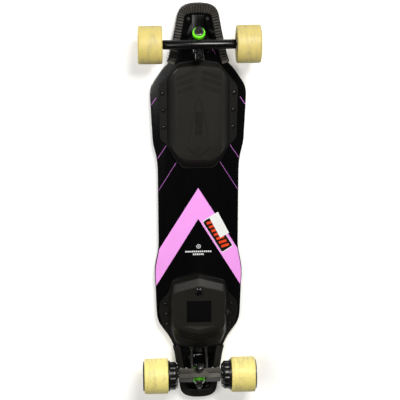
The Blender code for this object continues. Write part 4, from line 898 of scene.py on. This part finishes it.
def build_electronics_box():
    """The electronics enclosure with its recess, panel pocket, triangle and V grooves."""
    grooves = []
    for tip_x, end_x, end_y in ((-0.303, -0.2885, 0.048), (-0.3105, -0.2965, 0.046),
                                (-0.318, -0.3045, 0.043)):
        shares = [step / 4 for step in range(-4, 5)]
        path = [(tip_x + (end_x - tip_x) * abs(share), end_y * share) for share in shares]
        grooves.append(stroke(path, 0.0034))
    drop = bmesh.new()
    for outline in grooves:
        add_loft(drop, [[(x, y, tail_wall(x, y) + extra) for x, y in outline]
                        for extra in (-0.006, GROOVE_DEPTH)])
    triangle = bmesh.new()
    root, base, low = PLATEAU + 0.0006, PLATEAU - 0.0001, PLATEAU - 0.0027
    rings = [[(-0.2768, -0.039, root), (-0.288, 0.0, root), (-0.2768, 0.039, root)],
             [(-0.2774, -0.0376, base), (-0.2872, 0.0, low), (-0.2774, 0.0376, base)]]
    add_loft(triangle, rings)
    port = bmesh.new()
    add_turned(port, plain(0.0068, -0.01, 0.012), 32, port_frame())
    levels = (with_depth(ESC_SHOULDER, SHOULDER_DEPTH), ESC_WAIST, with_depth(ESC_PLATEAU, PLATEAU_DEPTH))
    steps = [cut([circle(0.0094, 40, (BUTTON_X, 0.0))], 0.01),
             cut([rectangle(-0.2673, -0.2137, 0.0288)], 0.0013),
             cut([rectangle(-0.2136, -0.185, 0.03)], 0.0009), difference(drop), union(triangle),
             difference(port)]
    build_shell("electronics_box", "esc_enclosure", ESC_FLANGE, levels, 0.006, steps)


def port_frame():
    """Charge port on the left wall; Z points out of the wall."""
    share = (0.014 - 0.005) / 0.016
    place = Matrix.Translation((-0.248, 0.069 - 0.006 * share, DECK_BOTTOM - 0.014))
    return place @ Matrix.Rotation(-(math.pi / 2 + math.atan2(0.006, 0.016)), 4, "X")


def build_fittings():
    """Button, bezel, glossy panel, charge port with its cap and the enclosure screws."""
    down = Matrix.Translation((BUTTON_X, 0, PLATEAU)) @ FACE_DOWN
    keep(turned("button_ring", ((0.007, -0.006), (0.0089, -0.006), (0.0089, 0.0002), (0.0083, 0.0008),
                                (0.0072, 0.0008), (0.007, 0.0004)), 64, DARK_STEEL, down, 0.0002),
         "root", "button_bezel")
    button = bmesh.new()
    add_turned(button, ((0, -0.006), (0.0067, -0.006), (0.0067, 0.0), (0.0061, 0.0006), (0.0036, 0.0003),
                        (0, 0.0002)), 64, fillet=0.0002)
    add_turned(button, plain(0.0031, 0.0, 0.0005, 0.0026), 48)
    keep(object_from("power_push_button", button, PANEL, down), "power_button", "power_button")
    # Painted highlights: two small white discs next to the button stand for glints on it.
    glints = bmesh.new()
    for side in (-1, 1):
        shine = ((0, -0.0004), (0.0008, -0.0004), (0.0008, 0.0003), (0.0005, 0.0005), (0, 0.0005))
        add_turned(glints, shine, 16, Matrix.Translation((-0.1838, side * 0.0036, PLATEAU)) @ FACE_DOWN)
    keep(object_from("painted_button_glints", glints, PAPER), "root")
    outline = soften([Vector(p) for p in rectangle(-0.2668, -0.2142, 0.0283)], 0.0012, 3)
    panel = bmesh.new()
    add_loft(panel, [with_depth(outline, PLATEAU + 0.001), with_depth(outline, PLATEAU + 0.0002),
                     with_depth(inset([(p.x, p.y) for p in outline], 0.0002), PLATEAU)])
    keep(object_from("glossy_square_panel", panel, PANEL), "root", "square_panel")
    keep(turned("charge_socket", ((0.0045, -0.008), (0.0062, -0.008), (0.0062, 0.001), (0.0078, 0.001),
                                  (0.0078, 0.0022), (0.0045, 0.0022)), 48, DARK_STEEL, port_frame(), 0.0003),
         "root", "charge_port")
    cap = bmesh.new()
    add_turned(cap, ((0, 0.0012), (0.0038, 0.0012), (0.0038, 0.0025), (0.0078, 0.0025), (0.0078, 0.004),
                     (0.0066, 0.0048), (0.004, 0.0044), (0, 0.0043)), 48, fillet=0.0003)
    keep(object_from("charge_socket_cap", cap, RUBBER, port_frame()), "charge_cap", "charge_port_cap")

    # Painted shade: each screw sits on a raised collar of darker gloss paint that stands for the shade of a
    # screw well.
    screws, shade_discs = bmesh.new(), bmesh.new()
    for x, y in ENCLOSURE_SCREWS:
        for side in (-1, 1):
            place = Matrix.Translation((x, side * y, DECK_BOTTOM)) @ FACE_DOWN
            add_turned(shade_discs, ((0, 0.0038), (0.0054, 0.0038), (0.0054, 0.0051), (0.005, 0.0056),
                               (0.0044, 0.0056), (0.0042, 0.005), (0, 0.005)), 32, place)
            profile = ((0, 0.0048), (0.0039, 0.0048), (0.0039, 0.0058), (0.0033, 0.0069), (0.0022, 0.0074),
                       (0.0018, 0.0074), (0.0016, 0.006), (0, 0.006))
            add_turned(screws, profile, 24, place)
    keep(object_from("enclosure_screw_heads", screws, DARK_STEEL), "root")
    keep(object_from("enclosure_screw_shade_collars", shade_discs, CAST), "root")


# ---------------------------------------------------------------- trucks


def outwards(side):
    """Turns Z to the left (+1) or to the right (-1)."""
    return Matrix.Rotation(-side * math.pi / 2, 4, "X")


def steer_point(along, offset):
    """Local (x, z) of a point given along the steering axis and towards the kingpin's nut."""
    point = STEER_FRAME @ Vector((along, 0.0, offset))
    return point.x, point.z


def build_baseplate(end, truck, pattern):
    """Cast baseplate: flange, wedge, pivot tower, gusset and kingpin seat, all with soft edges."""
    flange_low = 0.0633
    flange_high = flange_low + 0.006
    builder = bmesh.new()
    add_prism(builder, rounded_rectangle(pattern, 0.044, 0.029, 0.007), flange_low, flange_high)
    plate = object_from(f"{end}_baseplate_casting", builder, CAST, truck)
    wedge = bmesh.new()
    profile = [
        (-0.028, flange_low + 0.002), (-0.028, 0.049), (-0.031, 0.046), (-0.031, -0.013),
        (-0.0262, -0.004), steer_point(-0.0165, -0.01), steer_point(0.002, -0.015),
        steer_point(0.013, -SEAT_DEPTH), steer_point(0.043, -SEAT_DEPTH), (0.018, flange_low + 0.002),
    ]
    add_prism(wedge, profile, -0.0095, 0.0095, UPRIGHT)
    gusset = [(pattern + 0.04, 0.0), (pattern + 0.04, 0.013), (0.038, 0.013), (0.033, 0.0115),
              (0.008, 0.023), (-0.002, 0.023), (-0.006, 0.011), (-0.006, 0.0)]
    boss = bmesh.new()
    add_prism(boss, mirrored(gusset), 0.0535, flange_low + 0.0015)
    barrel = bmesh.new()
    add_turned(barrel, ((0, -0.0345), (0.008, -0.0345), (0.01, -0.0325), (0.01, -0.0165),
                        (0, -0.0165)), 40, PIVOT_FRAME)
    seat = bmesh.new()
    add_turned(seat, ((0, -0.038), (0.0148, -0.031), (0.0148, -SEAT_RIM), (0.0136, -SEAT_RIM),
                      (0.0136, -SEAT_DEPTH), (0, -SEAT_DEPTH)), 40, KINGPIN_FRAME)
    bores = bmesh.new()
    add_turned(bores, ((0, -0.09), (0.0103, -0.09), (0.0103, -0.0397), (0.0051, -0.0397),
                       (0.0051, -0.01), (0, -0.01)), 32, KINGPIN_FRAME)
    add_turned(bores, plain(0.0079, -0.031, -0.01), 32, PIVOT_FRAME)
    for sign_x in (-1, 1):
        for sign_y in (-1, 1):
            centre = (pattern + sign_x * BOLT_X, sign_y * BOLT_Y)
            add_prism(bores, circle(BOLT_HOLE, 20, centre), 0.05, flange_high + 0.005)
    steps = [union(wedge, truck), union(boss, truck), union(barrel, truck), union(seat, truck),
             difference(bores, truck)]
    keep(bake(plate, steps, bevel=0.0007), "root", f"{end}_baseplate", slot="cast_black")


def hexagon(radius):
    """A hexagon given by its corners and the middles of its sides."""
    corners = circle(radius, 12)
    for index in range(0, 12, 2):
        a, b = corners[index], corners[(index + 2) % 12]
        corners[index + 1] = ((a[0] + b[0]) / 2, (a[1] + b[1]) / 2)
    return corners


def nut(name, outlines, material, place, body, node_name):
    """A nut skinned over (outline, height) rings from its bore round its flats and back."""
    builder = bmesh.new()
    add_loft(builder, [with_depth(outline, z) for outline, z in outlines], closed=True)
    keep(object_from(name, builder, material, place, 25), body, node_name)


def bushing(name, profile, place, node_name):
    """Urethane bushing squeezed between the board and the steering hanger."""
    piece = turned(name, profile, 56, GREEN, place, 0.0005)
    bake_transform(piece)
    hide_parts(node_name)


def build_kingpin_set(end, truck):
    """Kingpin, nut, cupped washer, bushings and pivot cup of one truck."""
    place = truck @ KINGPIN_FRAME
    head = KINGPIN_HEAD
    pin = bmesh.new()
    thread = [(0, -head - 0.006), (0.009, -head - 0.006), (0.009, -head), (0.00475, -head), (0.00475, 0.02)]
    pitch = 0.0008
    for index in range(15):
        level = 0.02 + index * pitch
        thread += [(0.00475, level + 0.0002), (0.0042, level + 0.0006)]
    thread += [(0.004, 0.033), (0, 0.033)]
    add_turned(pin, thread, 32)
    keep(object_from(f"{end}_kingpin_bolt", pin, DARK_STEEL, place), "root", f"{end}_kingpin")
    bore = 0.00505
    rings = [(circle(bore, 12), 0.0206), (hexagon(0.0073), 0.0206), (hexagon(0.0079), 0.0212),
             (hexagon(0.0079), 0.0262), (hexagon(0.0072), 0.0268), (circle(0.0062, 12), 0.0269),
             (circle(0.0059, 12), 0.0295), (circle(bore, 12), 0.0295)]
    nut(f"{end}_kingpin_lock_nut", rings, DARK_STEEL, place, "root", f"{end}_kingpin_nut")
    keep(turned(f"{end}_cup_washer", ((bore, 0.0178), (0.0096, 0.0178), (0.0099, 0.0164), (0.0109, 0.0164),
                                      (0.0106, 0.0196), (0.0096, 0.0203), (bore, 0.0203)), 56, WASHER, place),
         "root", f"{end}_cupped_washer")
    inner = [(bore, -SEAT_DEPTH + 0.0003), (0.012, -SEAT_DEPTH + 0.0003), (0.013, -0.0195)]
    inner += [(0.013, -0.0195 + 0.0023 * step) for step in range(1, 5)]
    inner += [(0.013, -0.008), (0.012, -0.0063), (bore, -0.0063)]
    inner += [(bore, -0.0063 - 0.003 * step) for step in range(1, 5)]
    bushing(f"{end}_inner_bushing", inner, place,
            f"{end}_boardside_bushing")
    outer = [(bore, 0.0063), (0.013, 0.0063), (0.014, 0.0078)]
    outer += [(0.014, 0.0078 + 0.0017 * step) for step in range(1, 4)]
    outer += [(0.014, 0.0146), (0.0132, 0.0161), (0.0092, 0.0161), (0.0092, 0.0175), (bore, 0.0175)]
    outer += [(bore, 0.0175 - 0.0028 * step) for step in range(1, 4)]
    bushing(f"{end}_outer_bushing", outer, place, f"{end}_roadside_bushing")
    keep(turned(f"{end}_cup_insert", ((0, -0.0307), (0.0076, -0.0307), (0.0076, -0.0162), (0.0092, -0.0162),
                                      (0.0092, -0.0152), (0.0054, -0.0152), (0.0054, -0.0293), (0, -0.0293)),
                40, RUBBER, truck @ PIVOT_FRAME, 0.0003), "root", f"{end}_pivot_cup")


def arm_tools(truck, web_outline):
    """Pivot pin, arm web and kingpin eye to join to a hanger."""
    pin, web, eye = bmesh.new(), bmesh.new(), bmesh.new()
    add_turned(pin, ((0, -0.0289), (0.004, -0.0289), (0.0051, -0.0275), (0.0051, -0.0145), (0.0085, -0.0145),
                     (0.0085, 0.006), (0, 0.006)), 32, PIVOT_FRAME)
    add_prism(web, mirrored(web_outline), -0.0045, 0.0045, STEER_FRAME)
    add_turned(eye, plain(0.016, -0.006, 0.006), 56, KINGPIN_FRAME)
    return [union(pin, truck), union(web, truck), union(eye, truck)]


def build_front_truck():
    """Round-bar hanger, its axle and the axle nuts."""
    builder = bmesh.new()
    add_turned(builder, symmetric(((0, 0), (0.0092, 0), (0.0104, 0.003)), -0.08, 0.08), 48, UPRIGHT)
    hanger = object_from("front_hanger_casting", builder, CAST, FRONT)
    web = [(0.034, 0.0), (0.033, 0.011), (0.008, 0.03), (0.0, 0.042), (-0.003, 0.0)]
    bores = bmesh.new()
    add_turned(bores, plain(0.0075, -0.02, 0.02), 32, KINGPIN_FRAME)
    add_turned(bores, plain(0.0043, -0.09, 0.09), 24, UPRIGHT)
    steps = arm_tools(FRONT, web) + [difference(bores, FRONT)]
    keep(bake(hanger, steps, bevel=0.0009, segments=3), "front_truck", "front_hanger", slot="cast_black")
    keep(turned("front_axle_rod", ((0, -0.1285), (0.0032, -0.1285), (0.004, -0.1275), (0.004, 0.1275),
                                   (0.0032, 0.1285), (0, 0.1285)), 32, STEEL, FRONT @ UPRIGHT), "front_truck",
         "front_axle")
    bore = 0.0043
    rings = [(circle(bore, 12), 0.1193), (hexagon(0.0072), 0.1193), (hexagon(0.0072), 0.124),
             (hexagon(0.0066), 0.1245), (circle(0.0056, 12), 0.1246), (circle(0.0053, 12), 0.1263),
             (circle(bore, 12), 0.1263)]
    for side, side_name in ((1, "left"), (-1, "right")):
        nut(f"front_{side_name}_wheel_nut", rings, STEEL, wheel_place(FRONT, side), "front_truck",
            f"front_{side_name}_axle_nut")


def build_rear_truck():
    """Block hanger with its clamp screws."""
    section = [(0.0136, -0.0015), (0.0136, 0.0215), (0.0126, 0.0225), (-0.0135, 0.0225), (-0.0145, 0.0215),
               (-0.0145, -0.0015), (-0.0135, -0.0025), (0.0126, -0.0025)]
    builder = bmesh.new()
    add_prism(builder, section, -0.049, 0.049, STEER_FRAME @ UPRIGHT)
    hanger = object_from("rear_hanger_block", builder, HANGER, REAR)
    web = [(0.034, 0.0), (0.033, 0.011), (0.015, 0.02), (0.008, 0.02), (0.008, 0.0)]
    bores = bmesh.new()
    add_turned(bores, plain(0.0075, -0.02, 0.04), 32, KINGPIN_FRAME)
    for side in (-1, 1):
        add_turned(bores, plain(0.0053, 0.022, 0.06), 32, outwards(side))
        add_turned(bores, plain(0.0036, -0.03, 0.004), 24,
                   STEER_FRAME @ Matrix.Translation((-0.009, side * CABLE_Y, 0)))
    notch = bmesh.new()
    slope = [(-0.0155, 0.0205), (0.015, 0.006), (0.015, 0.03), (-0.0155, 0.03)]
    add_prism(notch, slope, -0.0155, 0.0155, STEER_FRAME @ UPRIGHT)
    seams = bmesh.new()
    for side in (-1, 1):
        outline = [(side * 0.0225, 0.0098), (side * 0.05, 0.0098), (side * 0.05, 0.0105),
                   (side * 0.0225, 0.0105)]
        flat = [(-0.016, y, z) for y, z in outline]
        deep = [(-0.011, y, z) for y, z in outline]
        add_loft(seams, [[tuple(STEER_FRAME @ Vector(p)) for p in ring] for ring in (flat, deep)])
    steps = arm_tools(REAR, web) + [difference(bores, REAR), difference(notch, REAR), difference(seams, REAR)]
    keep(bake(hanger, steps, bevel=0.0006), "rear_truck", "rear_hanger", slot="hanger_grey")
    screws = bmesh.new()
    for y in (-0.043, -0.03, 0.03, 0.043):
        place = REAR @ STEER_FRAME @ Matrix.Translation((-0.0095, y, -0.0025))
        add_turned(screws, ((0, -0.0028), (0.0012, -0.0028), (0.0012, -0.0014), (0.0016, -0.0014),
                            (0.0016, -0.0028), (0.0026, -0.0028), (0.003, -0.0022), (0.003, 0.0002),
                            (0, 0.0002)), 24, place)
    keep(object_from("rear_clamp_screws", screws, STEEL), "rear_truck")


def build_truck_bolts():
    """Bolts with a socket in each head and a lock nut in the pocket below."""
    head, nut_top = 0.1111, DECK_BOTTOM + 0.0037
    for end, truck, pattern in TRUCKS:
        for number, point in enumerate(bolt_points(truck, pattern), start=1):
            builder = bmesh.new()
            shank = circle(0.0024, 12)
            levels = [(circle(0.0012, 12), nut_top - 0.0062), (shank, nut_top - 0.0058),
                      (shank, nut_top - 0.0052), (circle(0.0038, 12), nut_top - 0.0052),
                      (circle(0.0039, 12), nut_top - 0.0036), (hexagon(0.0046), nut_top - 0.0033),
                      (hexagon(0.0046), nut_top), (shank, nut_top), (shank, head), (circle(0.0046, 12), head),
                      (circle(0.0046, 12), head + 0.001), (circle(0.0037, 12), head + 0.0027),
                      (hexagon(0.002), head + 0.0028), (hexagon(0.002), head + 0.0012)]
            add_loft(builder, [with_depth(outline, z) for outline, z in levels])
            place = Matrix.Translation((point.x, point.y, 0))
            keep(object_from(f"{end}_mounting_bolt_{number}", builder, DARK_STEEL, place, 30), "root",
                 f"{end}_truck_bolt_{number}")


def build_motor_cable(side, name, node_name):
    """Round cable from the electronics box to the rear hanger."""
    entry = REAR @ STEER_FRAME @ Vector((-0.009, 0.0, -0.0025))
    wall = DECK_BOTTOM - 0.008
    route = [Vector((-0.33, wall)), Vector((-0.34, wall)), Vector((-0.349, wall - 0.004)),
             Vector((entry.x + 0.012, entry.z + 0.0125)), Vector((entry.x, entry.z)),
             Vector((entry.x - 0.003, entry.z - 0.003))]
    path = []
    for index in range(len(route) - 1):
        before, after = route[max(index - 1, 0)], route[min(index + 2, len(route) - 1)]
        start, finish = route[index], route[index + 1]
        for step in range(8):
            t = step / 8
            path.append(0.5 * (2 * start + (finish - before) * t
                               + (2 * before - 5 * start + 4 * finish - after) * t**2
                               + (3 * start - before - 3 * finish + after) * t**3))
    path.append(route[-1])
    rings = []
    for index, point in enumerate(path):
        along = (path[min(index + 1, len(path) - 1)] - path[max(index - 1, 0)]).normalized()
        across = Vector((-along.y, along.x))
        ring = []
        for turn in range(16):
            angle = math.tau * turn / 16
            offset = across * CABLE_RADIUS * math.cos(angle)
            y = side * CABLE_Y + CABLE_RADIUS * math.sin(angle)
            ring.append((point.x + offset.x, y, point.y + offset.y))
        rings.append(ring)
    builder = bmesh.new()
    add_loft(builder, rings)
    piece = object_from(name, builder, CABLE)
    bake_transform(piece)
    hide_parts(node_name)
    mouth = Matrix.Translation((-0.3385, side * CABLE_Y, wall)) @ Matrix.Rotation(-math.pi / 2, 4, "Y")
    profile = ((0.0033, 0.0), (0.0056, 0.0), (0.005, 0.0045), (0.0042, 0.007), (0.0033, 0.007))
    gland = turned(f"{name}_gland", profile, 32, RUBBER, mouth)
    keep(gland, "root")


# ---------------------------------------------------------------- wheels


def wheel_place(truck, side):
    """Z along the axle, outwards from the board's middle; side is +1 on the left."""
    return truck @ outwards(side if truck is FRONT else -side)


def build_front_wheel(side, side_name, cream):
    """Front wheel: soft-edged tyre, turned core and shielded bearings."""
    place = wheel_place(FRONT, side)
    body = f"front_{side_name}_wheel"
    radius = WHEEL_RADIUS
    bond = 0.0243
    tyre = turned(f"front_{side_name}_urethane", (
        (bond, 0.084), (0.0275, 0.0808), (radius - 0.002, 0.0806), (radius - 0.0001, 0.0828),
        (radius, 0.09), (radius, 0.124), (radius - 0.0001, 0.1313), (radius - 0.002, 0.1335),
        (0.029, 0.1333), (bond, 0.125)),
        128, cream, place, 0.0012)
    keep(tyre, body, f"front_{side_name}_tyre", slot="cream_urethane")
    seat = 0.0113
    core = turned(f"front_{side_name}_hub", (
        (seat, 0.0815), (0.015, 0.0815), (0.018, 0.085), (0.024, 0.085), (0.024, 0.124),
        (0.018, 0.124), (0.015, 0.1195), (seat, 0.1195), (seat, 0.1117), (0.0085, 0.1117),
        (0.0085, 0.0888), (seat, 0.0888)),
        64, CORE, place, 0.0004)
    keep(core, body, f"front_{side_name}_core")
    for where, start in (("inner", 0.0815), ("outer", 0.112)):
        bearing = bmesh.new()
        half = ((0.0043, 0), (0.0062, 0), (0.0064, 0.0005), (0.0092, 0.0005), (0.0094, 0), (0.011, 0))
        add_turned(bearing, symmetric(half, start, start + 0.007), 48)
        keep(object_from(f"front_{side_name}_{where}_ball_bearing", bearing, STEEL, place), body,
             f"front_{side_name}_{where}_bearing")


def build_rear_wheel(side, side_name):
    """Hub motor: lobed can with screws, rim, outer cover with bolts, and the tyre sleeve."""
    place = wheel_place(REAR, side)
    body = f"rear_{side_name}_wheel"
    lobes = 10

    def lobed(angle, height):
        if not 0.0535 < height < 0.069:
            return 1.0
        return 1.0 - 0.055 * (0.5 + 0.5 * math.cos(lobes * angle)) ** 3

    can = turned(f"{side_name}_motor_housing", (
        (0.0053, 0.0515), (0.025, 0.0515), (0.0262, 0.052), (0.031, 0.056), (0.0329, 0.058),
        (0.0329, 0.062), (0.0329, 0.066), (0.0329, 0.0685), (0.033, 0.0696), (0.0355, 0.0696),
        (0.036, 0.0702), (0.036, 0.0734), (0.0355, 0.074), (0.033, 0.074), (0.033, 0.1275),
        (0.0295, 0.1275), (0.0295, 0.06), (0.0053, 0.06)),
        160, CAN, place, 0.0003, lobed)
    keep(can, body, f"{side_name}_motor_can", slot="black_steel")
    sleeve = plain(0.00518, 0.0482, 0.053, 0.00502)
    keep(turned(f"{side_name}_axle_sleeve", sleeve, 32, DARK_STEEL, place, 0.0), "rear_truck")
    screws = bmesh.new()
    tilted = Matrix.Translation((0.0275, 0, 0.053)) @ Matrix.Rotation(math.radians(-42), 4, "Y")
    for index in range(lobes):
        angle = math.tau * (index + 0.5) / lobes
        spot = Matrix.Rotation(angle, 4, "Z") @ tilted
        add_turned(screws, ((0, -0.0014), (0.0008, -0.0014), (0.0009, -0.0006), (0.0018, -0.001),
                            (0.0019, 0.0008), (0, 0.0008)), 16, spot)
    keep(object_from(f"{side_name}_motor_screws", screws, STEEL, place), body)
    cover = bmesh.new()
    add_turned(cover, (
        (0, 0.1328), (0.008, 0.1328), (0.0095, 0.1333), (0.033, 0.1333), (0.0345, 0.1328), (0.035, 0.1318),
        (0.035, 0.1303), (0.033, 0.1303), (0.033, 0.1278), (0.0292, 0.1278), (0.0292, 0.124),
        (0.011, 0.124), (0.011, 0.119), (0.0053, 0.119), (0.0053, 0.1275),
        (0, 0.1275)), 96, fillet=0.0002)
    piece = object_from(f"{side_name}_motor_end_cover", cover, DARK_STEEL, place)
    holes = bmesh.new()
    bolt_circle = circle(0.0262, 6)
    for x, y in bolt_circle:
        add_turned(holes, plain(0.0026, 0.1322, 0.14), 24, Matrix.Translation((x, y, 0)))
    for index in range(12):
        angle = math.tau * (index + 0.5) / 12
        outline = bar((0.013 * math.cos(angle), 0.013 * math.sin(angle)),
                      (0.0215 * math.cos(angle), 0.0215 * math.sin(angle)), 0.0018)
        add_prism(holes, [tuple(p) for p in soften([Vector(q) for q in outline], 0.0008, 3)], 0.1326, 0.14)
    bake(piece, [difference(holes, place)])
    keep(piece, body, f"{side_name}_motor_cover")
    bolts = bmesh.new()
    for x, y in bolt_circle:
        profile = ((0, 0.1312), (0.0022, 0.1312), (0.0022, 0.1328), (0.0018, 0.1331), (0.001, 0.1331),
                   (0.0009, 0.1322), (0, 0.1322))
        add_turned(bolts, profile, 20, Matrix.Translation((x, y, 0)))
    keep(object_from(f"{side_name}_motor_cover_bolts", bolts, STEEL, place), body)
    radius = WHEEL_RADIUS
    bond = 0.0333
    tyre = turned(f"rear_{side_name}_urethane", (
        (bond, 0.0743), (radius - 0.0016, 0.0743), (radius - 0.0001, 0.0762), (radius, 0.085),
        (radius, 0.12), (radius - 0.0001, 0.1282), (radius - 0.0016, 0.13), (bond, 0.13)), 128,
        CREAM_REAR_PAINTED_LIGHTER, place, 0.0009)
    keep(tyre, body, f"rear_{side_name}_tyre", slot="cream_urethane")


# ---------------------------------------------------------------- nodes that stay as they are


def paint_nodes():
    """Better materials for the CAD nodes that are kept."""
    finishes = {
        "grip_tape": GRIP, "link_cable": CABLE, "battery_pack": CELLS, "battery_management_board": CIRCUIT,
        "motor_controller_board": CIRCUIT, "left_motor_stator": WINDING, "right_motor_stator": WINDING,
    }
    for name, finish in finishes.items():
        mesh_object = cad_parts[name]
        for material_slot in mesh_object.material_slots:
            material_slot.material = finish


# ---------------------------------------------------------------- camera, light and stage


def one_sided(name, colour, glow):
    """A matt surface that shows only on the side its normal points to."""
    material, tree, shader = principled(name)
    shader.inputs["Base Color"].default_value = (*colour, 1.0)
    shader.inputs["Roughness"].default_value = 0.9
    shader.inputs["Specular IOR Level"].default_value = 0.1
    shader.inputs["Emission Color"].default_value = (*colour, 1.0)
    shader.inputs["Emission Strength"].default_value = glow
    clear = node(tree, "ShaderNodeBsdfTransparent")
    side = node(tree, "ShaderNodeNewGeometry")
    mix = node(tree, "ShaderNodeMixShader")
    tree.links.new(side.outputs["Backfacing"], mix.inputs["Fac"])
    tree.links.new(shader.outputs["BSDF"], mix.inputs[1])
    tree.links.new(clear.outputs["BSDF"], mix.inputs[2])
    tree.links.new(mix.outputs["Shader"], tree.nodes["Material Output"].inputs["Surface"])
    return material


def build_plane(name, level, facing, material):
    """A large level plane for the stage."""
    size = 12.0
    corners = [(-size, -size, level), (size, -size, level), (size, size, level), (-size, size, level)]
    mesh = bpy.data.meshes.new(name)
    mesh.from_pydata(corners if facing > 0 else corners[::-1], [], [(0, 1, 2, 3)])
    mesh.materials.append(material)
    plane = linked(name, mesh)
    for rays in ("shadow", "diffuse", "glossy", "transmission"):
        setattr(plane, f"visible_{rays}", False)


def area_light(name, location, target, size, power, colour):
    """A soft square light aimed at a point."""
    data = bpy.data.lights.new(name, "AREA")
    data.shape = "SQUARE"
    data.size = size
    data.energy = power
    data.color = colour
    shine = linked(name, data)
    shine.location = location
    shine.rotation_euler = (Vector(target) - Vector(location)).to_track_quat("-Z", "Y").to_euler()


def build_stage():
    """Lights and two planes for a board seen from below, as it lies upside down on a pale table.

    The table shows only from below and touches the bolts on the deck; the floor under the wheels shows only
    from above.
    """
    build_plane("floor", 0.0, 1, one_sided("pale_floor", (0.8, 0.79, 0.77), 0.0))
    build_plane("table", CAD_BOX[1].z + 0.0005, -1, one_sided("pale_table", (0.95, 0.945, 0.935), 0.34))
    area_light("key", (1.7, 0.5, -2.0), (0, 0, 0.1), 0.9, 66, (1.0, 0.985, 0.955))
    area_light("fill", (0.5, -1.3, -2.5), (0, 0, 0.1), 1.6, 36, (1.0, 0.99, 0.97))
    area_light("strip", (1.35, 0.25, -1.25), (0.3, 0, 0.1), 0.1, 1.2, (1.0, 0.99, 0.96))
    area_light("top_key", (0.8, -1.6, 2.4), (0, 0, 0.05), 1.6, 42, (1.0, 0.98, 0.95))
    area_light("top_fill", (-1.4, 1.6, 1.9), (0, 0, 0.05), 2.0, 22, (0.93, 0.96, 1.0))
    world = bpy.data.worlds.new("studio")
    bpy.context.scene.world = world
    world.use_nodes = True
    tree = world.node_tree
    place = node(tree, "ShaderNodeTexCoord")
    split = node(tree, "ShaderNodeSeparateXYZ")
    tree.links.new(place.outputs["Generated"], split.inputs["Vector"])
    share = map_range(tree, split.outputs["Z"], (-1.0, 1.0), (0.0, 1.0))
    stops = [(position, (value, value, value)) for position, value in SKY]
    background = tree.nodes["Background"]
    tree.links.new(colour_ramp(tree, share, stops), background.inputs["Color"])
    background.inputs["Strength"].default_value = 1.0
    bpy.context.scene.view_settings.view_transform = "Standard"


def build_camera():
    """A long lens below the board, with the nose at the top; the values are fitted to the photograph."""
    data = bpy.data.cameras.new("camera")
    data.sensor_width = 36.0
    data.lens = 117.52
    data.shift_x = 0.00435
    data.shift_y = 0.02442
    data.clip_end = 40.0
    camera = linked("camera", data)
    right = Vector((-0.00112, 0.99859, -0.05305)).normalized()
    back = Vector((0.31501, -0.05, -0.94777)).normalized()
    up = back.cross(right)
    turn = Matrix((right, up, back)).transposed().to_4x4()
    camera.matrix_world = Matrix.Translation((0.94533, -0.15005, -2.75276)) @ turn
    bpy.context.scene.camera = camera


build_camera()
build_stage()
build_deck()
build_graphic()
build_bumper("nose_guard", "nose_bumper", DECK_TIP, NOSE_GUARD_START, True)
build_bumper("tail_guard", "tail_bumper", -DECK_TIP, TAIL_GUARD_START, False)
build_battery_box()
build_electronics_box()
build_fittings()
for end_name, truck_place, bolt_pattern in TRUCKS:
    build_baseplate(end_name, truck_place, bolt_pattern)
    build_kingpin_set(end_name, truck_place)
build_front_truck()
build_rear_truck()
build_truck_bolts()
build_motor_cable(1, "left_phase_cable", "left_motor_cable")
build_motor_cable(-1, "right_phase_cable", "right_motor_cable")
build_front_wheel(1, "left", CREAM_FRONT_LEFT)
build_front_wheel(-1, "right", CREAM_FRONT_RIGHT)
build_rear_wheel(1, "left")
build_rear_wheel(-1, "right")
paint_nodes()
